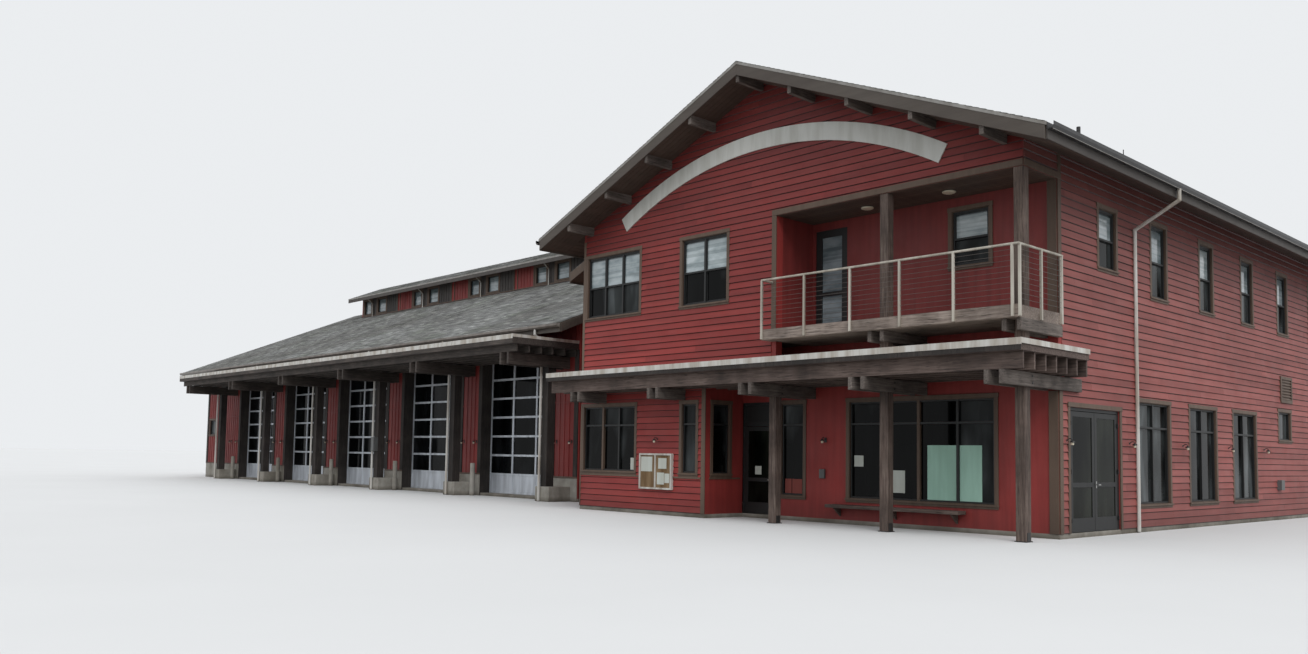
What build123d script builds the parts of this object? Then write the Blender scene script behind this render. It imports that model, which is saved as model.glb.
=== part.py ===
from build123d import *
import os

# A timber fire station at half its real size, in millimetres.
# X runs right along the street front, Y back from the street, Z up.
# While it is modelled, X = 0 is the right side wall, Y = 0 the gable front and Z = 0 the ground.
# At the end the whole model is moved so that the origin is the bottom centre of its box.

# Main two-storey block
MAIN_W = 6100.0  # gable front, wall to wall
DEPTH = 9450.0  # front wall to rear wall
WALL = 100.0  # outer walls
BASE = 45.0  # top of the floor slab and its concrete edge
RECESS = 625.0  # how far the entry wall and the loggia wall stand behind the gable
FRONT_WALL_W = 2243.0  # ground-floor front wall, from the left corner to the entry corner
LOGGIA_LEFT_X = -2827.0  # left jamb of the loggia
LOGGIA_TOP = 3305.0
UPPER_FLOOR_TOP = 2050.0
UPPER_FLOOR_T = 100.0

# Roofs: all slopes have the same pitch
PITCH = 5.0 / 12.0
MAIN_OVERHANG = 415.0  # eaves and rakes of the main roof
MAIN_EAVE_Z = 3381.0  # underside of the main roof at its eaves
MAIN_ROOF_T = 125.0  # measured straight up
FASCIA_T = 18.0
FASCIA_DROP = 25.0  # how far a fascia hangs below the roof slab
CATSLIDE_W = 588.0  # the left slope runs this much lower beside the wing
CATSLIDE_Y0 = 557.0
CATSLIDE_Y1 = 1900.0

# Wing with the engine bays
LINK_W = 1540.0  # between the main block and the wing
PIER_0_IN = 345.0  # the first pier's middle from the wing's right end
WING_END_W = 1780.0  # the last pier's middle to the wing's left end
WING_FRONT_Y = 1207.0
WING_WALL = 180.0  # the front wall with the piers is thicker
BAY = 2547.0
BAYS = 5
PIER_W = 652.0
BAY_DOOR_H = 2200.0
WING_EAVE_OUT = 511.0
WING_EAVE_TOP = 2600.0
WING_ROOF_T = 110.0
WING_RAKE_LEFT = 460.0
WING_RAKE_RIGHT = 160.0
LINK_Y = 1600.0  # front of the link wall between wing and main block

# Raised monitor roof with the clerestory windows
MON_PAST_PIER = 589.0  # its left end beyond the last pier
MON_PAST_WING = 537.0  # its right end beyond the wing's right end
MON_HALF_D = 634.5  # its front wall to the ridge
MON_RISE = 499.0  # its eave above the wing roof
MON_WALL = 60.0
MON_OVERHANG = 279.0
MON_RAKE = 246.0
MON_ROOF_T = 95.0

# Timber posts of the front
POST = 96.0
POST_PITCH = 1410.0

# Canopy over the pavement
CAN_FRONT = 500.0
CAN_RIGHT = 230.0
CAN_LEFT = 110.0
CAN_RETURN_Y = 765.0
CAN_TOP = 1715.0
CAN_T = 98.0
JOIST_H = 147.0
JOIST_T = 22.0
JOIST_PITCH = 195.0
JOISTS = 7
BEAM_H = 122.0
BEAM_T = 45.0
BEAM_OUT = 450.0
SIDE_BEAM_Y = 1000.0

# Balcony
DECK_OUT = 172.0
DECK_LEFT = 57.0  # beyond the loggia jamb
DECK_RIGHT = 32.0
DECK_T = 112.0
DECK_BEAM_H = 108.0
DECK_BEAM_OUT = 139.0
RAIL_H = 528.0
RAIL_R = 12.0
RAIL_POST = 22.0
RAIL_BAYS = 5
RAIL_SIDE_BAYS = 2
RAIL_DROP = 8.0  # the posts stop this far above the bottom of the deck edge
CABLES = 10
CABLE_T = 5.0

# Windows: casing outside, frame in the wall, pane in the frame
CASING = 42.0
CASING_T = 12.0
FRAME = 24.0
FRAME_D = 60.0
FRAME_SET = 12.0  # frame stands this far behind the wall face
MULLION = 26.0
GLASS_T = 6.0
LIP = 6.0  # the casing covers this much of the frame
SILL_OUT = 22.0
SILL_H = 18.0
UPPER_SILL = 2451.0
UPPER_HEAD = 3230.0
SHOP_HEAD = 1304.0
SIDE_LOW_HEAD = 1325.0
SHOP_SILL = 501.0
LOW_SILL = 279.0
TRANSOM_Z = 1068.0
MEETING = 0.49  # meeting rail of a sliding window, as a share of its height
TRIPLE_W = 992.0
TRIPLE_IN = 88.0  # from the left corner
DOUBLE_W = 715.0
DOUBLE_IN = 414.0  # left of the entry corner
SHOP_W = 975.0
SHOP_IN = 65.0  # from the left corner
SLIT_W = 230.0
SLIT_IN = 383.0  # left of the entry corner
ENTRY_SIDE_W = 275.0
ENTRY_SIDE_IN = 15.0  # behind the front wall
SIDELIGHT_W = 317.0
SIDELIGHT_IN = 82.0  # right of the entry door's frame
WIDE_GAP = 627.0  # from the sidelight to the wide window
WIDE_IN = 636.0  # left of the right corner
LOGGIA_WIN_W = 400.0
LOGGIA_WIN_H = 552.0
LOGGIA_WIN_IN = 682.0
LOGGIA_WIN_UP = 564.0  # above the upper floor
BALCONY_DOOR_W = 430.0
BALCONY_DOOR_IN = 37.0
BALCONY_DOOR_DOWN = 90.0  # below the loggia ceiling
SIDE_FIRST_Y = 1476.0
SIDE_FIRST_W = 386.0
SIDE_FIRST_SILL = 2600.0
SIDE_FIRST_HEAD = 3190.0
SIDE_WIN_W = 388.0
SIDE_WIN_PITCH = 1360.0
SIDE_WIN_Y0 = 2927.0
SIDE_LOW_W = 785.0
SIDE_LOW_BACK = 172.0  # in front of the upper windows' centres
SIDE_SMALL_W = 480.0
SMALL_SILL = 1035.0
SMALL_HEAD = 1405.0
REAR_WIN_W = 714.0
REAR_WIN_STEP = 1850.0
WING_WIN_W = 760.0
WING_WIN_SILL = 1050.0
WING_WIN_HEAD = 1650.0
WING_WIN_STEP = 2025.0
WING_FRONT_WIN_W = 380.0
WING_FRONT_WIN_IN = 160.0
WING_FRONT_WIN_H = 360.0
CLERE_LEFT = -445.0  # two windows over each pier, measured from its middle
CLERE_LEFT_W = 355.0
CLERE_RIGHT = 270.0
CLERE_RIGHT_W = 420.0
CLERE_HEAD = 75.0  # below the monitor's eave
CLERE_H = 360.0

# Doors
JAMB = 30.0
DOOR_T = 22.0
GAP = 5.0
DOOR_SET = 9.0  # leaf behind the wall face
ENTRY_W = 450.0
ENTRY_HEAD = 1058.0
SIDE_DOOR_Y0 = 826.0
SIDE_DOOR_W = 1073.0
SIDE_DOOR_HEAD = 1207.0
HINGE_R = 7.0
HINGE_GAP = 2.0
KNUCKLE_H = 14.0
STILE = 50.0
KICK_H = 130.0
LOCK_RAIL = 44.0
LOCK_SHARE = 0.39
LEVER_OUT = 20.0
LEVER_L = 52.0

ROUND_SIDES = 8  # small round bars are drawn with this many flats

MAIN_MID_X = -MAIN_W / 2
ENTRY_CORNER_X = -MAIN_W + FRONT_WALL_W
ENTRY_LEFT_X = ENTRY_CORNER_X + JAMB
WING_RIGHT_X = -MAIN_W - LINK_W
PIER_0_X = WING_RIGHT_X - PIER_0_IN  # centre of the first pier, post and pair of beams
LAST_PIER_X = PIER_0_X - BAYS * BAY
WING_LEFT_X = LAST_PIER_X - WING_END_W
MON_LEFT_X = LAST_PIER_X - MON_PAST_PIER
MON_RIGHT_X = WING_RIGHT_X + MON_PAST_WING
WING_MID_Y = (WING_FRONT_Y + DEPTH) / 2
LOW_RIGHT_X = WING_RIGHT_X + WING_RAKE_RIGHT
MON_FRONT_Y = WING_MID_Y - MON_HALF_D
ENTRY_WALL_X = ENTRY_LEFT_X + ENTRY_W + JAMB
SIDELIGHT_RIGHT_X = ENTRY_WALL_X + SIDELIGHT_IN + SIDELIGHT_W
WIDE_LEFT_X = SIDELIGHT_RIGHT_X + WIDE_GAP


def block(x0, x1, y0, y1, z0, z1):
    """A box from its two corners."""
    return Pos((x0 + x1) / 2, (y0 + y1) / 2, (z0 + z1) / 2) * Box(x1 - x0, y1 - y0, z1 - z0)


def slab_xz(points, y0, y1):
    """A flat shape in XZ, pulled along Y."""
    face = make_face(Polyline(*[(x, y0, z) for x, z in points], close=True))
    return extrude(face, amount=y1 - y0, dir=(0, 1, 0))


def slab_yz(points, x0, x1):
    """A flat shape in YZ, pulled along X."""
    face = make_face(Polyline(*[(x0, y, z) for y, z in points], close=True))
    return extrude(face, amount=x1 - x0, dir=(1, 0, 0))


def rod(start, end, radius, beyond0=0.0, beyond1=0.0):
    """A round bar from start to end, drawn with ROUND_SIDES flats, and longer at its ends if asked."""
    line = Vector(*end) - Vector(*start)
    way = line.normalized()
    plane = Plane(origin=Vector(*start) - way * beyond0, z_dir=way)
    return extrude(plane * RegularPolygon(radius, ROUND_SIDES), amount=line.length + beyond0 + beyond1, dir=way)


def joined(solids):
    """All solids fused into one shape."""
    first, *rest = solids
    return first.fuse(*rest) if rest else first


def apart(solids):
    """Solids that share a node without touching."""
    return Compound([s for shape in solids for s in shape.solids()])


# Roof planes

def main_under(x):
    """Underside of the main roof at x."""
    return MAIN_EAVE_Z + PITCH * (MAIN_W / 2 + MAIN_OVERHANG - abs(x - MAIN_MID_X))


def wing_top(y):
    """Top of the wing roof at y."""
    eave_y = WING_FRONT_Y - WING_EAVE_OUT
    return WING_EAVE_TOP + PITCH * (WING_MID_Y - eave_y - abs(y - WING_MID_Y))


def wing_under(y):
    """Underside of the wing roof at y."""
    return wing_top(y) - WING_ROOF_T


MON_EAVE_TOP = wing_top(MON_FRONT_Y) + MON_RISE


def monitor_top(y):
    """Top of the monitor roof at y."""
    eave_y = MON_FRONT_Y - MON_OVERHANG
    return MON_EAVE_TOP + PITCH * (WING_MID_Y - eave_y - abs(y - WING_MID_Y))


# Windows: each is (across0, across1, z0, z1, uprights, crossbars) on one wall plane

def window(a0, width, z0, z1, uprights=(), crossbars=()):
    """A window from one edge and its width; uprights and crossbars are shares of width and height."""
    return (a0, a0 + width, z0, z1, uprights, crossbars)


def centred(a, width, z0, z1, uprights=(), crossbars=()):
    return window(a - width / 2, width, z0, z1, uprights, crossbars)


def transom(z0, z1):
    """The ground-floor transom as a share of a window's height."""
    return [(TRANSOM_Z - z0) / (z1 - z0)]


def front_upper_windows():
    return [
        window(-MAIN_W + TRIPLE_IN, TRIPLE_W, UPPER_SILL, UPPER_HEAD, [1 / 3, 2 / 3], [MEETING]),
        window(ENTRY_CORNER_X - DOUBLE_IN, DOUBLE_W, UPPER_SILL, UPPER_HEAD, [0.5], [MEETING]),
    ]


def front_shop_windows():
    bar = transom(SHOP_SILL, SHOP_HEAD)
    return [
        window(-MAIN_W + SHOP_IN, SHOP_W, SHOP_SILL, SHOP_HEAD, [0.37, 0.68], bar),
        window(ENTRY_CORNER_X - SLIT_IN, SLIT_W, SHOP_SILL, SHOP_HEAD, [], bar),
    ]


def entry_side_windows():
    bar = transom(SHOP_SILL, SHOP_HEAD)
    return [window(WALL + ENTRY_SIDE_IN, ENTRY_SIDE_W, SHOP_SILL, SHOP_HEAD, [], bar)]


def recess_windows():
    bar = transom(LOW_SILL, SHOP_HEAD)
    return [
        window(ENTRY_WALL_X + SIDELIGHT_IN, SIDELIGHT_W, LOW_SILL, SHOP_HEAD, [], bar),
        window(WIDE_LEFT_X, -WIDE_IN - WIDE_LEFT_X, LOW_SILL, SHOP_HEAD, [0.26, 0.5, 0.76], bar),
    ]


def loggia_windows():
    sill = UPPER_FLOOR_TOP + LOGGIA_WIN_UP
    return [window(-LOGGIA_WIN_IN - LOGGIA_WIN_W, LOGGIA_WIN_W, sill, sill + LOGGIA_WIN_H, [], [MEETING])]


def balcony_door_place():
    x0 = LOGGIA_LEFT_X + BALCONY_DOOR_IN
    return x0, x0 + BALCONY_DOOR_W, UPPER_FLOOR_TOP, LOGGIA_TOP - BALCONY_DOOR_DOWN


def side_upper_windows():
    first = window(SIDE_FIRST_Y, SIDE_FIRST_W, SIDE_FIRST_SILL, SIDE_FIRST_HEAD, [], [MEETING])
    places = [SIDE_WIN_Y0 + i * SIDE_WIN_PITCH for i in range(5)]
    return [first] + [centred(y, SIDE_WIN_W, UPPER_SILL, UPPER_HEAD, [], [MEETING]) for y in places]


def side_lower_windows():
    bar = transom(LOW_SILL, SIDE_LOW_HEAD)
    places = [SIDE_WIN_Y0 - SIDE_LOW_BACK + i * SIDE_WIN_PITCH for i in range(3)]
    large = [centred(y, SIDE_LOW_W, LOW_SILL, SIDE_LOW_HEAD, [0.5], bar) for y in places]
    places = [SIDE_WIN_Y0 + i * SIDE_WIN_PITCH for i in (3, 4)]
    return large + [centred(y, SIDE_SMALL_W, SMALL_SILL, SMALL_HEAD) for y in places]


def rear_windows():
    places = [MAIN_MID_X + i * REAR_WIN_STEP for i in (-1, 0, 1)]
    upper = [centred(x, REAR_WIN_W, UPPER_SILL, UPPER_HEAD) for x in places]
    lower = [centred(x, REAR_WIN_W, SHOP_SILL, SHOP_HEAD) for x in places]
    return upper + lower


def wing_front_windows():
    x0 = WING_LEFT_X + WING_FRONT_WIN_IN
    return [window(x0, WING_FRONT_WIN_W, WING_WIN_SILL, WING_WIN_SILL + WING_FRONT_WIN_H)]


def wing_rear_windows():
    return [centred(bay_mid(i), WING_WIN_W, WING_WIN_SILL, WING_WIN_HEAD) for i in range(0, BAYS, 2)]


def wing_left_windows():
    places = [WING_MID_Y + i * WING_WIN_STEP for i in (-1, 1)]
    return [centred(y, WING_WIN_W, WING_WIN_SILL, WING_WIN_HEAD) for y in places]


def clerestory_windows():
    head = MON_EAVE_TOP - CLERE_HEAD
    found = []
    for i in range(BAYS + 1):
        x = pier_x(i)
        found.append(window(x + CLERE_LEFT, CLERE_LEFT_W, head - CLERE_H, head))
        found.append(window(x + CLERE_RIGHT, CLERE_RIGHT_W, head - CLERE_H, head))
    return found


def pier_x(i):
    return PIER_0_X - i * BAY


def bay_mid(i):
    return PIER_0_X - (i + 0.5) * BAY


class Side:
    """A wall face: along is "x" or "y", at is where its outer face lies, out is +1 or -1."""

    def __init__(self, along, at, out):
        self.along = along
        self.at = at
        self.out = out

    def block(self, a0, a1, depth0, depth1, z0, z1):
        """A box given along the wall, by depth inwards from the face, and by height."""
        d0, d1 = sorted((self.at - self.out * depth0, self.at - self.out * depth1))
        if self.along == "x":
            return block(a0, a1, d0, d1, z0, z1)
        return block(d0, d1, a0, a1, z0, z1)


FRONT = Side("x", 0.0, -1)
RECESSED = Side("x", RECESS, -1)
ENTRY_SIDE = Side("y", ENTRY_CORNER_X, 1)
RIGHT = Side("y", 0.0, 1)
REAR = Side("x", DEPTH, 1)
WING_FRONT = Side("x", WING_FRONT_Y, -1)
WING_LEFT = Side("y", WING_LEFT_X, -1)
CLERESTORY = Side("x", MON_FRONT_Y, -1)


def cut_windows(wall, side, windows, thickness):
    """The wall with an opening through it for each window."""
    for a0, a1, z0, z1, _, _ in windows:
        wall = wall - side.block(a0, a1, -1.0, thickness + 1.0, z0, z1)
    return wall


def window_frame(side, place):
    """Casing, sill, frame, uprights and crossbars of one window, as one piece."""
    a0, a1, z0, z1, uprights, crossbars = place
    front, back = FRAME_SET, FRAME_SET + FRAME_D
    ring = side.block(a0, a1, 0, back, z0, z1)
    ring -= side.block(a0 + FRAME, a1 - FRAME, -1, back + 1, z0 + FRAME, z1 - FRAME)
    casing = side.block(a0 - CASING, a1 + CASING, -CASING_T, 0, z0 - CASING, z1 + CASING)
    casing -= side.block(a0 + LIP, a1 - LIP, -CASING_T - 1, 1, z0 + LIP, z1 - LIP)
    sill = side.block(a0 - CASING, a1 + CASING, -SILL_OUT, 0, z0 - CASING, z0 - CASING + SILL_H)
    pieces = [ring, casing, sill]
    for share in uprights:
        a = a0 + share * (a1 - a0)
        pieces.append(side.block(a - MULLION / 2, a + MULLION / 2, front, back, z0 + 1, z1 - 1))
    for share in crossbars:
        z = z0 + share * (z1 - z0)
        pieces.append(side.block(a0 + 1, a1 - 1, front, back, z - MULLION / 2, z + MULLION / 2))
    return joined(pieces)


def window_panes(side, place):
    """The panes between the frame, uprights and crossbars."""
    a0, a1, z0, z1, uprights, crossbars = place
    depth = FRAME_SET + FRAME_D / 2
    across = [a0 + FRAME] + [a0 + s * (a1 - a0) for s in uprights] + [a1 - FRAME]
    heights = [z0 + FRAME] + [z0 + s * (z1 - z0) for s in crossbars] + [z1 - FRAME]
    panes = []
    for i in range(len(across) - 1):
        left = across[i] + (MULLION / 2 if i else 0)
        right = across[i + 1] - (MULLION / 2 if i < len(across) - 2 else 0)
        for j in range(len(heights) - 1):
            low = heights[j] + (MULLION / 2 if j else 0)
            high = heights[j + 1] - (MULLION / 2 if j < len(heights) - 2 else 0)
            panes.append(side.block(left, right, depth - GLASS_T / 2, depth + GLASS_T / 2, low, high))
    return panes


def all_windows():
    groups = [
        (FRONT, front_upper_windows() + front_shop_windows()),
        (ENTRY_SIDE, entry_side_windows()),
        (RECESSED, recess_windows() + loggia_windows()),
        (RIGHT, side_upper_windows() + side_lower_windows()),
        (REAR, rear_windows() + wing_rear_windows()),
        (WING_FRONT, wing_front_windows()),
        (WING_LEFT, wing_left_windows()),
        (CLERESTORY, clerestory_windows()),
    ]
    return [(side, place) for side, places in groups for place in places]


def window_frames():
    return apart([window_frame(side, place) for side, place in all_windows()])


def window_glass():
    return apart([pane for side, place in all_windows() for pane in window_panes(side, place)])


# Main block walls

def floor_slab():
    main = block(-MAIN_W, 0, RECESS, DEPTH, 0, BASE)
    front = block(-MAIN_W, ENTRY_CORNER_X, 0, RECESS, 0, BASE)
    wing = block(WING_LEFT_X, -MAIN_W, LINK_Y, DEPTH, 0, BASE)
    wing_front = block(WING_LEFT_X, WING_RIGHT_X, WING_FRONT_Y, LINK_Y, 0, BASE)
    return joined([main, front, wing, wing_front])


def upper_floor():
    z0, z1 = UPPER_FLOOR_TOP - UPPER_FLOOR_T, UPPER_FLOOR_TOP
    left = block(-MAIN_W + WALL, LOGGIA_LEFT_X, WALL, DEPTH - WALL, z0, z1)
    right = block(LOGGIA_LEFT_X, -WALL, RECESS, DEPTH - WALL, z0, z1)
    return joined([left, right])


def gable_points(bottom):
    wall_top = main_under(0)
    return [(-MAIN_W, bottom), (-MAIN_W, wall_top), (MAIN_MID_X, main_under(MAIN_MID_X)), (0, wall_top), (0, bottom)]


def front_wall():
    wall = slab_xz(gable_points(BASE), 0, WALL)
    wall -= block(ENTRY_CORNER_X, 1, -1, WALL + 1, 0, CAN_TOP)
    wall -= block(LOGGIA_LEFT_X, 1, -1, WALL + 1, 0, LOGGIA_TOP)
    return cut_windows(wall, FRONT, front_upper_windows() + front_shop_windows(), WALL)


def entry_side_wall():
    wall = block(ENTRY_CORNER_X - WALL, ENTRY_CORNER_X, WALL, RECESS, BASE, CAN_TOP - CAN_T)
    return cut_windows(wall, ENTRY_SIDE, entry_side_windows(), WALL)


ENTRY_TRANSOM_TOP = SHOP_HEAD + JAMB


def entry_wall_over_door():
    top = UPPER_FLOOR_TOP - UPPER_FLOOR_T
    return block(ENTRY_CORNER_X - WALL, ENTRY_WALL_X, RECESS, RECESS + WALL, ENTRY_TRANSOM_TOP, top)


def recess_wall():
    top = UPPER_FLOOR_TOP - UPPER_FLOOR_T
    wall = block(ENTRY_WALL_X, -WALL, RECESS, RECESS + WALL, BASE, top)
    return cut_windows(wall, RECESSED, recess_windows(), WALL)


def loggia_walls():
    back = block(LOGGIA_LEFT_X - WALL, -WALL, RECESS, RECESS + WALL, UPPER_FLOOR_TOP, LOGGIA_TOP)
    jamb = block(LOGGIA_LEFT_X - WALL, LOGGIA_LEFT_X, WALL, RECESS, UPPER_FLOOR_TOP, LOGGIA_TOP)
    x0, x1, z0, z1 = balcony_door_place()
    back -= block(x0, x1, RECESS - 1, RECESS + WALL + 1, z0 - 1, z1)
    back = cut_windows(back, RECESSED, loggia_windows(), WALL)
    return joined([back, jamb])


def loggia_ceiling():
    return block(LOGGIA_LEFT_X - WALL, -WALL, WALL, RECESS + WALL, LOGGIA_TOP, LOGGIA_TOP + 40)


def side_wall_front():
    top = main_under(0)
    corner = block(-WALL, 0, RECESS, SIDE_DOOR_Y0, BASE, top)
    header = block(-WALL, 0, WALL, RECESS, LOGGIA_TOP, top)
    return joined([corner, header])


def side_wall_over_door():
    wall = block(-WALL, 0, SIDE_DOOR_Y0, SIDE_DOOR_Y0 + SIDE_DOOR_W, SIDE_DOOR_HEAD, main_under(0))
    return cut_windows(wall, RIGHT, side_upper_windows()[:1], WALL)


def side_wall_rear():
    wall = block(-WALL, 0, SIDE_DOOR_Y0 + SIDE_DOOR_W, DEPTH, BASE, main_under(0))
    return cut_windows(wall, RIGHT, side_upper_windows()[1:] + side_lower_windows(), WALL)


def rear_wall():
    wall = slab_xz(gable_points(BASE), DEPTH - WALL, DEPTH)
    wall -= block(-WALL, 1, DEPTH - WALL - 1, DEPTH + 1, 0, main_under(0) + WALL)
    return cut_windows(wall, REAR, rear_windows(), WALL)


def left_wall():
    return block(-MAIN_W, -MAIN_W + WALL, WALL, DEPTH - WALL, BASE, main_under(0))


# Main roof

def main_slope(mirror):
    """One slope of the main roof, left when mirror is -1."""
    edge = MAIN_MID_X + mirror * (MAIN_W / 2 + MAIN_OVERHANG)
    z0, z1 = MAIN_EAVE_Z, main_under(MAIN_MID_X)
    points = [(edge, z0), (MAIN_MID_X, z1), (MAIN_MID_X, z1 + MAIN_ROOF_T), (edge, z0 + MAIN_ROOF_T)]
    return slab_xz(points, -MAIN_OVERHANG, DEPTH + MAIN_OVERHANG)


def roof_left():
    edge = -MAIN_W - MAIN_OVERHANG
    low = edge - CATSLIDE_W
    z0, z1 = MAIN_EAVE_Z - CATSLIDE_W * PITCH, MAIN_EAVE_Z
    points = [(low, z0), (edge, z1), (edge, z1 + MAIN_ROOF_T), (low, z0 + MAIN_ROOF_T)]
    return joined([main_slope(-1), slab_xz(points, CATSLIDE_Y0, CATSLIDE_Y1)])


def roof_right():
    return main_slope(1)


def rake_board(mirror, y0):
    """A sloping fascia board at a gable end."""
    edge = MAIN_MID_X + mirror * (MAIN_W / 2 + MAIN_OVERHANG)
    mid = MAIN_MID_X + mirror * 0.5
    z0, z1 = MAIN_EAVE_Z - FASCIA_DROP, main_under(MAIN_MID_X) - FASCIA_DROP
    height = FASCIA_DROP + MAIN_ROOF_T - 12
    points = [(edge, z0), (mid, z1), (mid, z1 + height), (edge, z0 + height)]
    return slab_xz(points, y0, y0 + FASCIA_T)


def wing_rake_board(x0, y_eave, y_end):
    """A sloping fascia board at an end of the wing roof, from the eave up to y_end."""
    height = WING_ROOF_T + FASCIA_DROP - 12
    low = [(y, wing_under(y) - FASCIA_DROP) for y in (y_eave, y_end)]
    high = [(y, z + height) for y, z in reversed(low)]
    return slab_yz(low + high, x0, x0 + FASCIA_T)


def roof_fascia():
    """Fascia boards on eaves and rakes, each clear of the next by a saw cut."""
    cut = 1.0
    z0 = MAIN_EAVE_Z - FASCIA_DROP
    z1 = MAIN_EAVE_Z + MAIN_ROOF_T - 12
    right = MAIN_OVERHANG
    left = -MAIN_W - MAIN_OVERHANG
    front, back = -MAIN_OVERHANG, DEPTH + MAIN_OVERHANG
    boards = [rake_board(m, y) for m in (-1, 1) for y in (front - FASCIA_T, back)]
    boards.append(block(right, right + FASCIA_T, front + cut, back - cut, z0, z1))
    boards.append(block(left - FASCIA_T, left, front + cut, CATSLIDE_Y0 - cut, z0, z1))
    low = left - CATSLIDE_W
    drop = CATSLIDE_W * PITCH
    boards.append(block(low - FASCIA_T, low, CATSLIDE_Y0 + cut, CATSLIDE_Y1 - cut, z0 - drop, z1 - drop))
    eave_z0 = WING_EAVE_TOP - WING_ROOF_T - FASCIA_DROP
    eave_z1 = WING_EAVE_TOP - 12
    wing_eave = WING_FRONT_Y - WING_EAVE_OUT
    wing_left = WING_LEFT_X - WING_RAKE_LEFT
    boards.append(block(wing_left + cut, LOW_RIGHT_X - cut, wing_eave - FASCIA_T, wing_eave, eave_z0, eave_z1))
    rear_eave = DEPTH + WING_EAVE_OUT
    boards.append(block(wing_left + cut, -MAIN_W - MAIN_OVERHANG, rear_eave, rear_eave + FASCIA_T, eave_z0, eave_z1))
    ridge = WING_MID_Y - cut
    boards.append(wing_rake_board(wing_left - FASCIA_T, wing_eave, ridge))
    boards.append(wing_rake_board(wing_left - FASCIA_T, rear_eave, WING_MID_Y + cut))
    boards.append(wing_rake_board(LOW_RIGHT_X, wing_eave, LINK_Y - 105))
    mon_eave = MON_FRONT_Y - MON_OVERHANG
    mon_z0 = MON_EAVE_TOP - MON_ROOF_T - 15
    for y in (mon_eave - 14, 2 * WING_MID_Y - mon_eave):
        boards.append(block(MON_LEFT_X - MON_RAKE, MON_RIGHT_X + MON_RAKE, y, y + 14, mon_z0, MON_EAVE_TOP - 10))
    return apart(boards)


OUTLOOKER_T = 45.0
OUTLOOKER_H = 90.0
OUTLOOKER_PITCH = 720.0


def roof_outlookers():
    """Short beams that carry the front and rear rakes."""
    beams = []
    for i in range(-4, 5):
        x = MAIN_MID_X + i * OUTLOOKER_PITCH
        x0, x1 = x - OUTLOOKER_T / 2, x + OUTLOOKER_T / 2
        low = min(main_under(x0), main_under(x1)) - OUTLOOKER_H
        top = [(x0, main_under(x0)), (x, main_under(x)), (x1, main_under(x1))]
        points = [(x0, low)] + top + [(x1, low)]
        for y0, y1 in ((-MAIN_OVERHANG, 0.0), (DEPTH, DEPTH + MAIN_OVERHANG)):
            beams.append(slab_xz(points, y0, y1))
    return apart(beams)


# Gutters and downpipes

GUTTER_W = 62.0
GUTTER_H = 55.0
GUTTER_T = 4.0
PIPE_R = 20.0
ELBOW_LAP = 0.45
SIDE_PIPE_Y = 2285.0


def gutter_profile(out):
    """An open gutter section with a rolled lip, out is the direction away from the fascia."""
    w, h, t = GUTTER_W, GUTTER_H, GUTTER_T
    points = [(0, 0), (w * 0.7, 0), (w, h * 0.45), (w, h), (w - t, h), (w - t, h * 0.5), (w * 0.7 - 2, t), (t, t), (t, h), (0, h)]
    return [(out * a, b) for a, b in points]


def gutter_y(x, out, y0, y1, z):
    """A gutter that runs along Y."""
    return slab_xz([(x + a, z + b) for a, b in gutter_profile(out)], y0, y1)


def gutter_x(y, out, x0, x1, z):
    """A gutter that runs along X."""
    return slab_yz([(y + a, z + b) for a, b in gutter_profile(out)], x0, x1)


def pipe_run(points, radius):
    """A pipe through points, whose runs go past each elbow far enough to close it."""
    last = len(points) - 2
    runs = []
    for i in range(len(points) - 1):
        beyond0 = radius * ELBOW_LAP if i > 0 else 0.0
        beyond1 = radius * ELBOW_LAP if i < last else 0.0
        runs.append(rod(points[i], points[i + 1], radius, beyond0, beyond1))
    return joined(runs)


WING_GUTTER_Z = WING_EAVE_TOP - GUTTER_H - 14
WING_PIPE_Y = 782.0
WING_PIPE_DX = -48.0


def rainwater():
    z = MAIN_EAVE_Z + MAIN_ROOF_T - GUTTER_H - 14
    right = MAIN_OVERHANG + FASCIA_T
    left = -MAIN_W - MAIN_OVERHANG - FASCIA_T
    front, back = -MAIN_OVERHANG - FASCIA_T, DEPTH + MAIN_OVERHANG + FASCIA_T
    items = [gutter_y(right, 1, front, back, z), gutter_y(left, -1, front, CATSLIDE_Y0 - 2, z)]
    top = (right + GUTTER_W / 2, SIDE_PIPE_Y, z + GUTTER_T)
    wall_x = PIPE_R + 3
    elbow = z - 110.0
    side = [top, (top[0], top[1], elbow), (wall_x, SIDE_PIPE_Y, elbow - 240.0), (wall_x, SIDE_PIPE_Y, 12)]
    items.append(pipe_run(side, PIPE_R))
    eave_y = WING_FRONT_Y - WING_EAVE_OUT - FASCIA_T
    wing_left = WING_LEFT_X - WING_RAKE_LEFT
    items.append(gutter_x(eave_y, -1, wing_left, LOW_RIGHT_X, WING_GUTTER_Z))
    for i in range(BAYS + 1):
        x = pier_x(i) + WING_PIPE_DX
        high = (x, eave_y - GUTTER_W / 2, WING_GUTTER_Z + GUTTER_T)
        mid = (x, WING_PIPE_Y, WING_CANOPY_TOP - 60)
        items.append(pipe_run([high, (high[0], high[1], high[2] - 72), mid, (x, WING_PIPE_Y, 12)], PIPE_R))
    return items


# Timber posts, canopy and balcony

def post_x(i):
    """Left face of the front post i, counted from the right corner."""
    return -POST - i * POST_PITCH


DECK_BOTTOM = UPPER_FLOOR_TOP - DECK_T
BEAM_Z = CAN_TOP - CAN_T - JOIST_H - BEAM_H
JOIST_Z = CAN_TOP - CAN_T - JOIST_H


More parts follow.
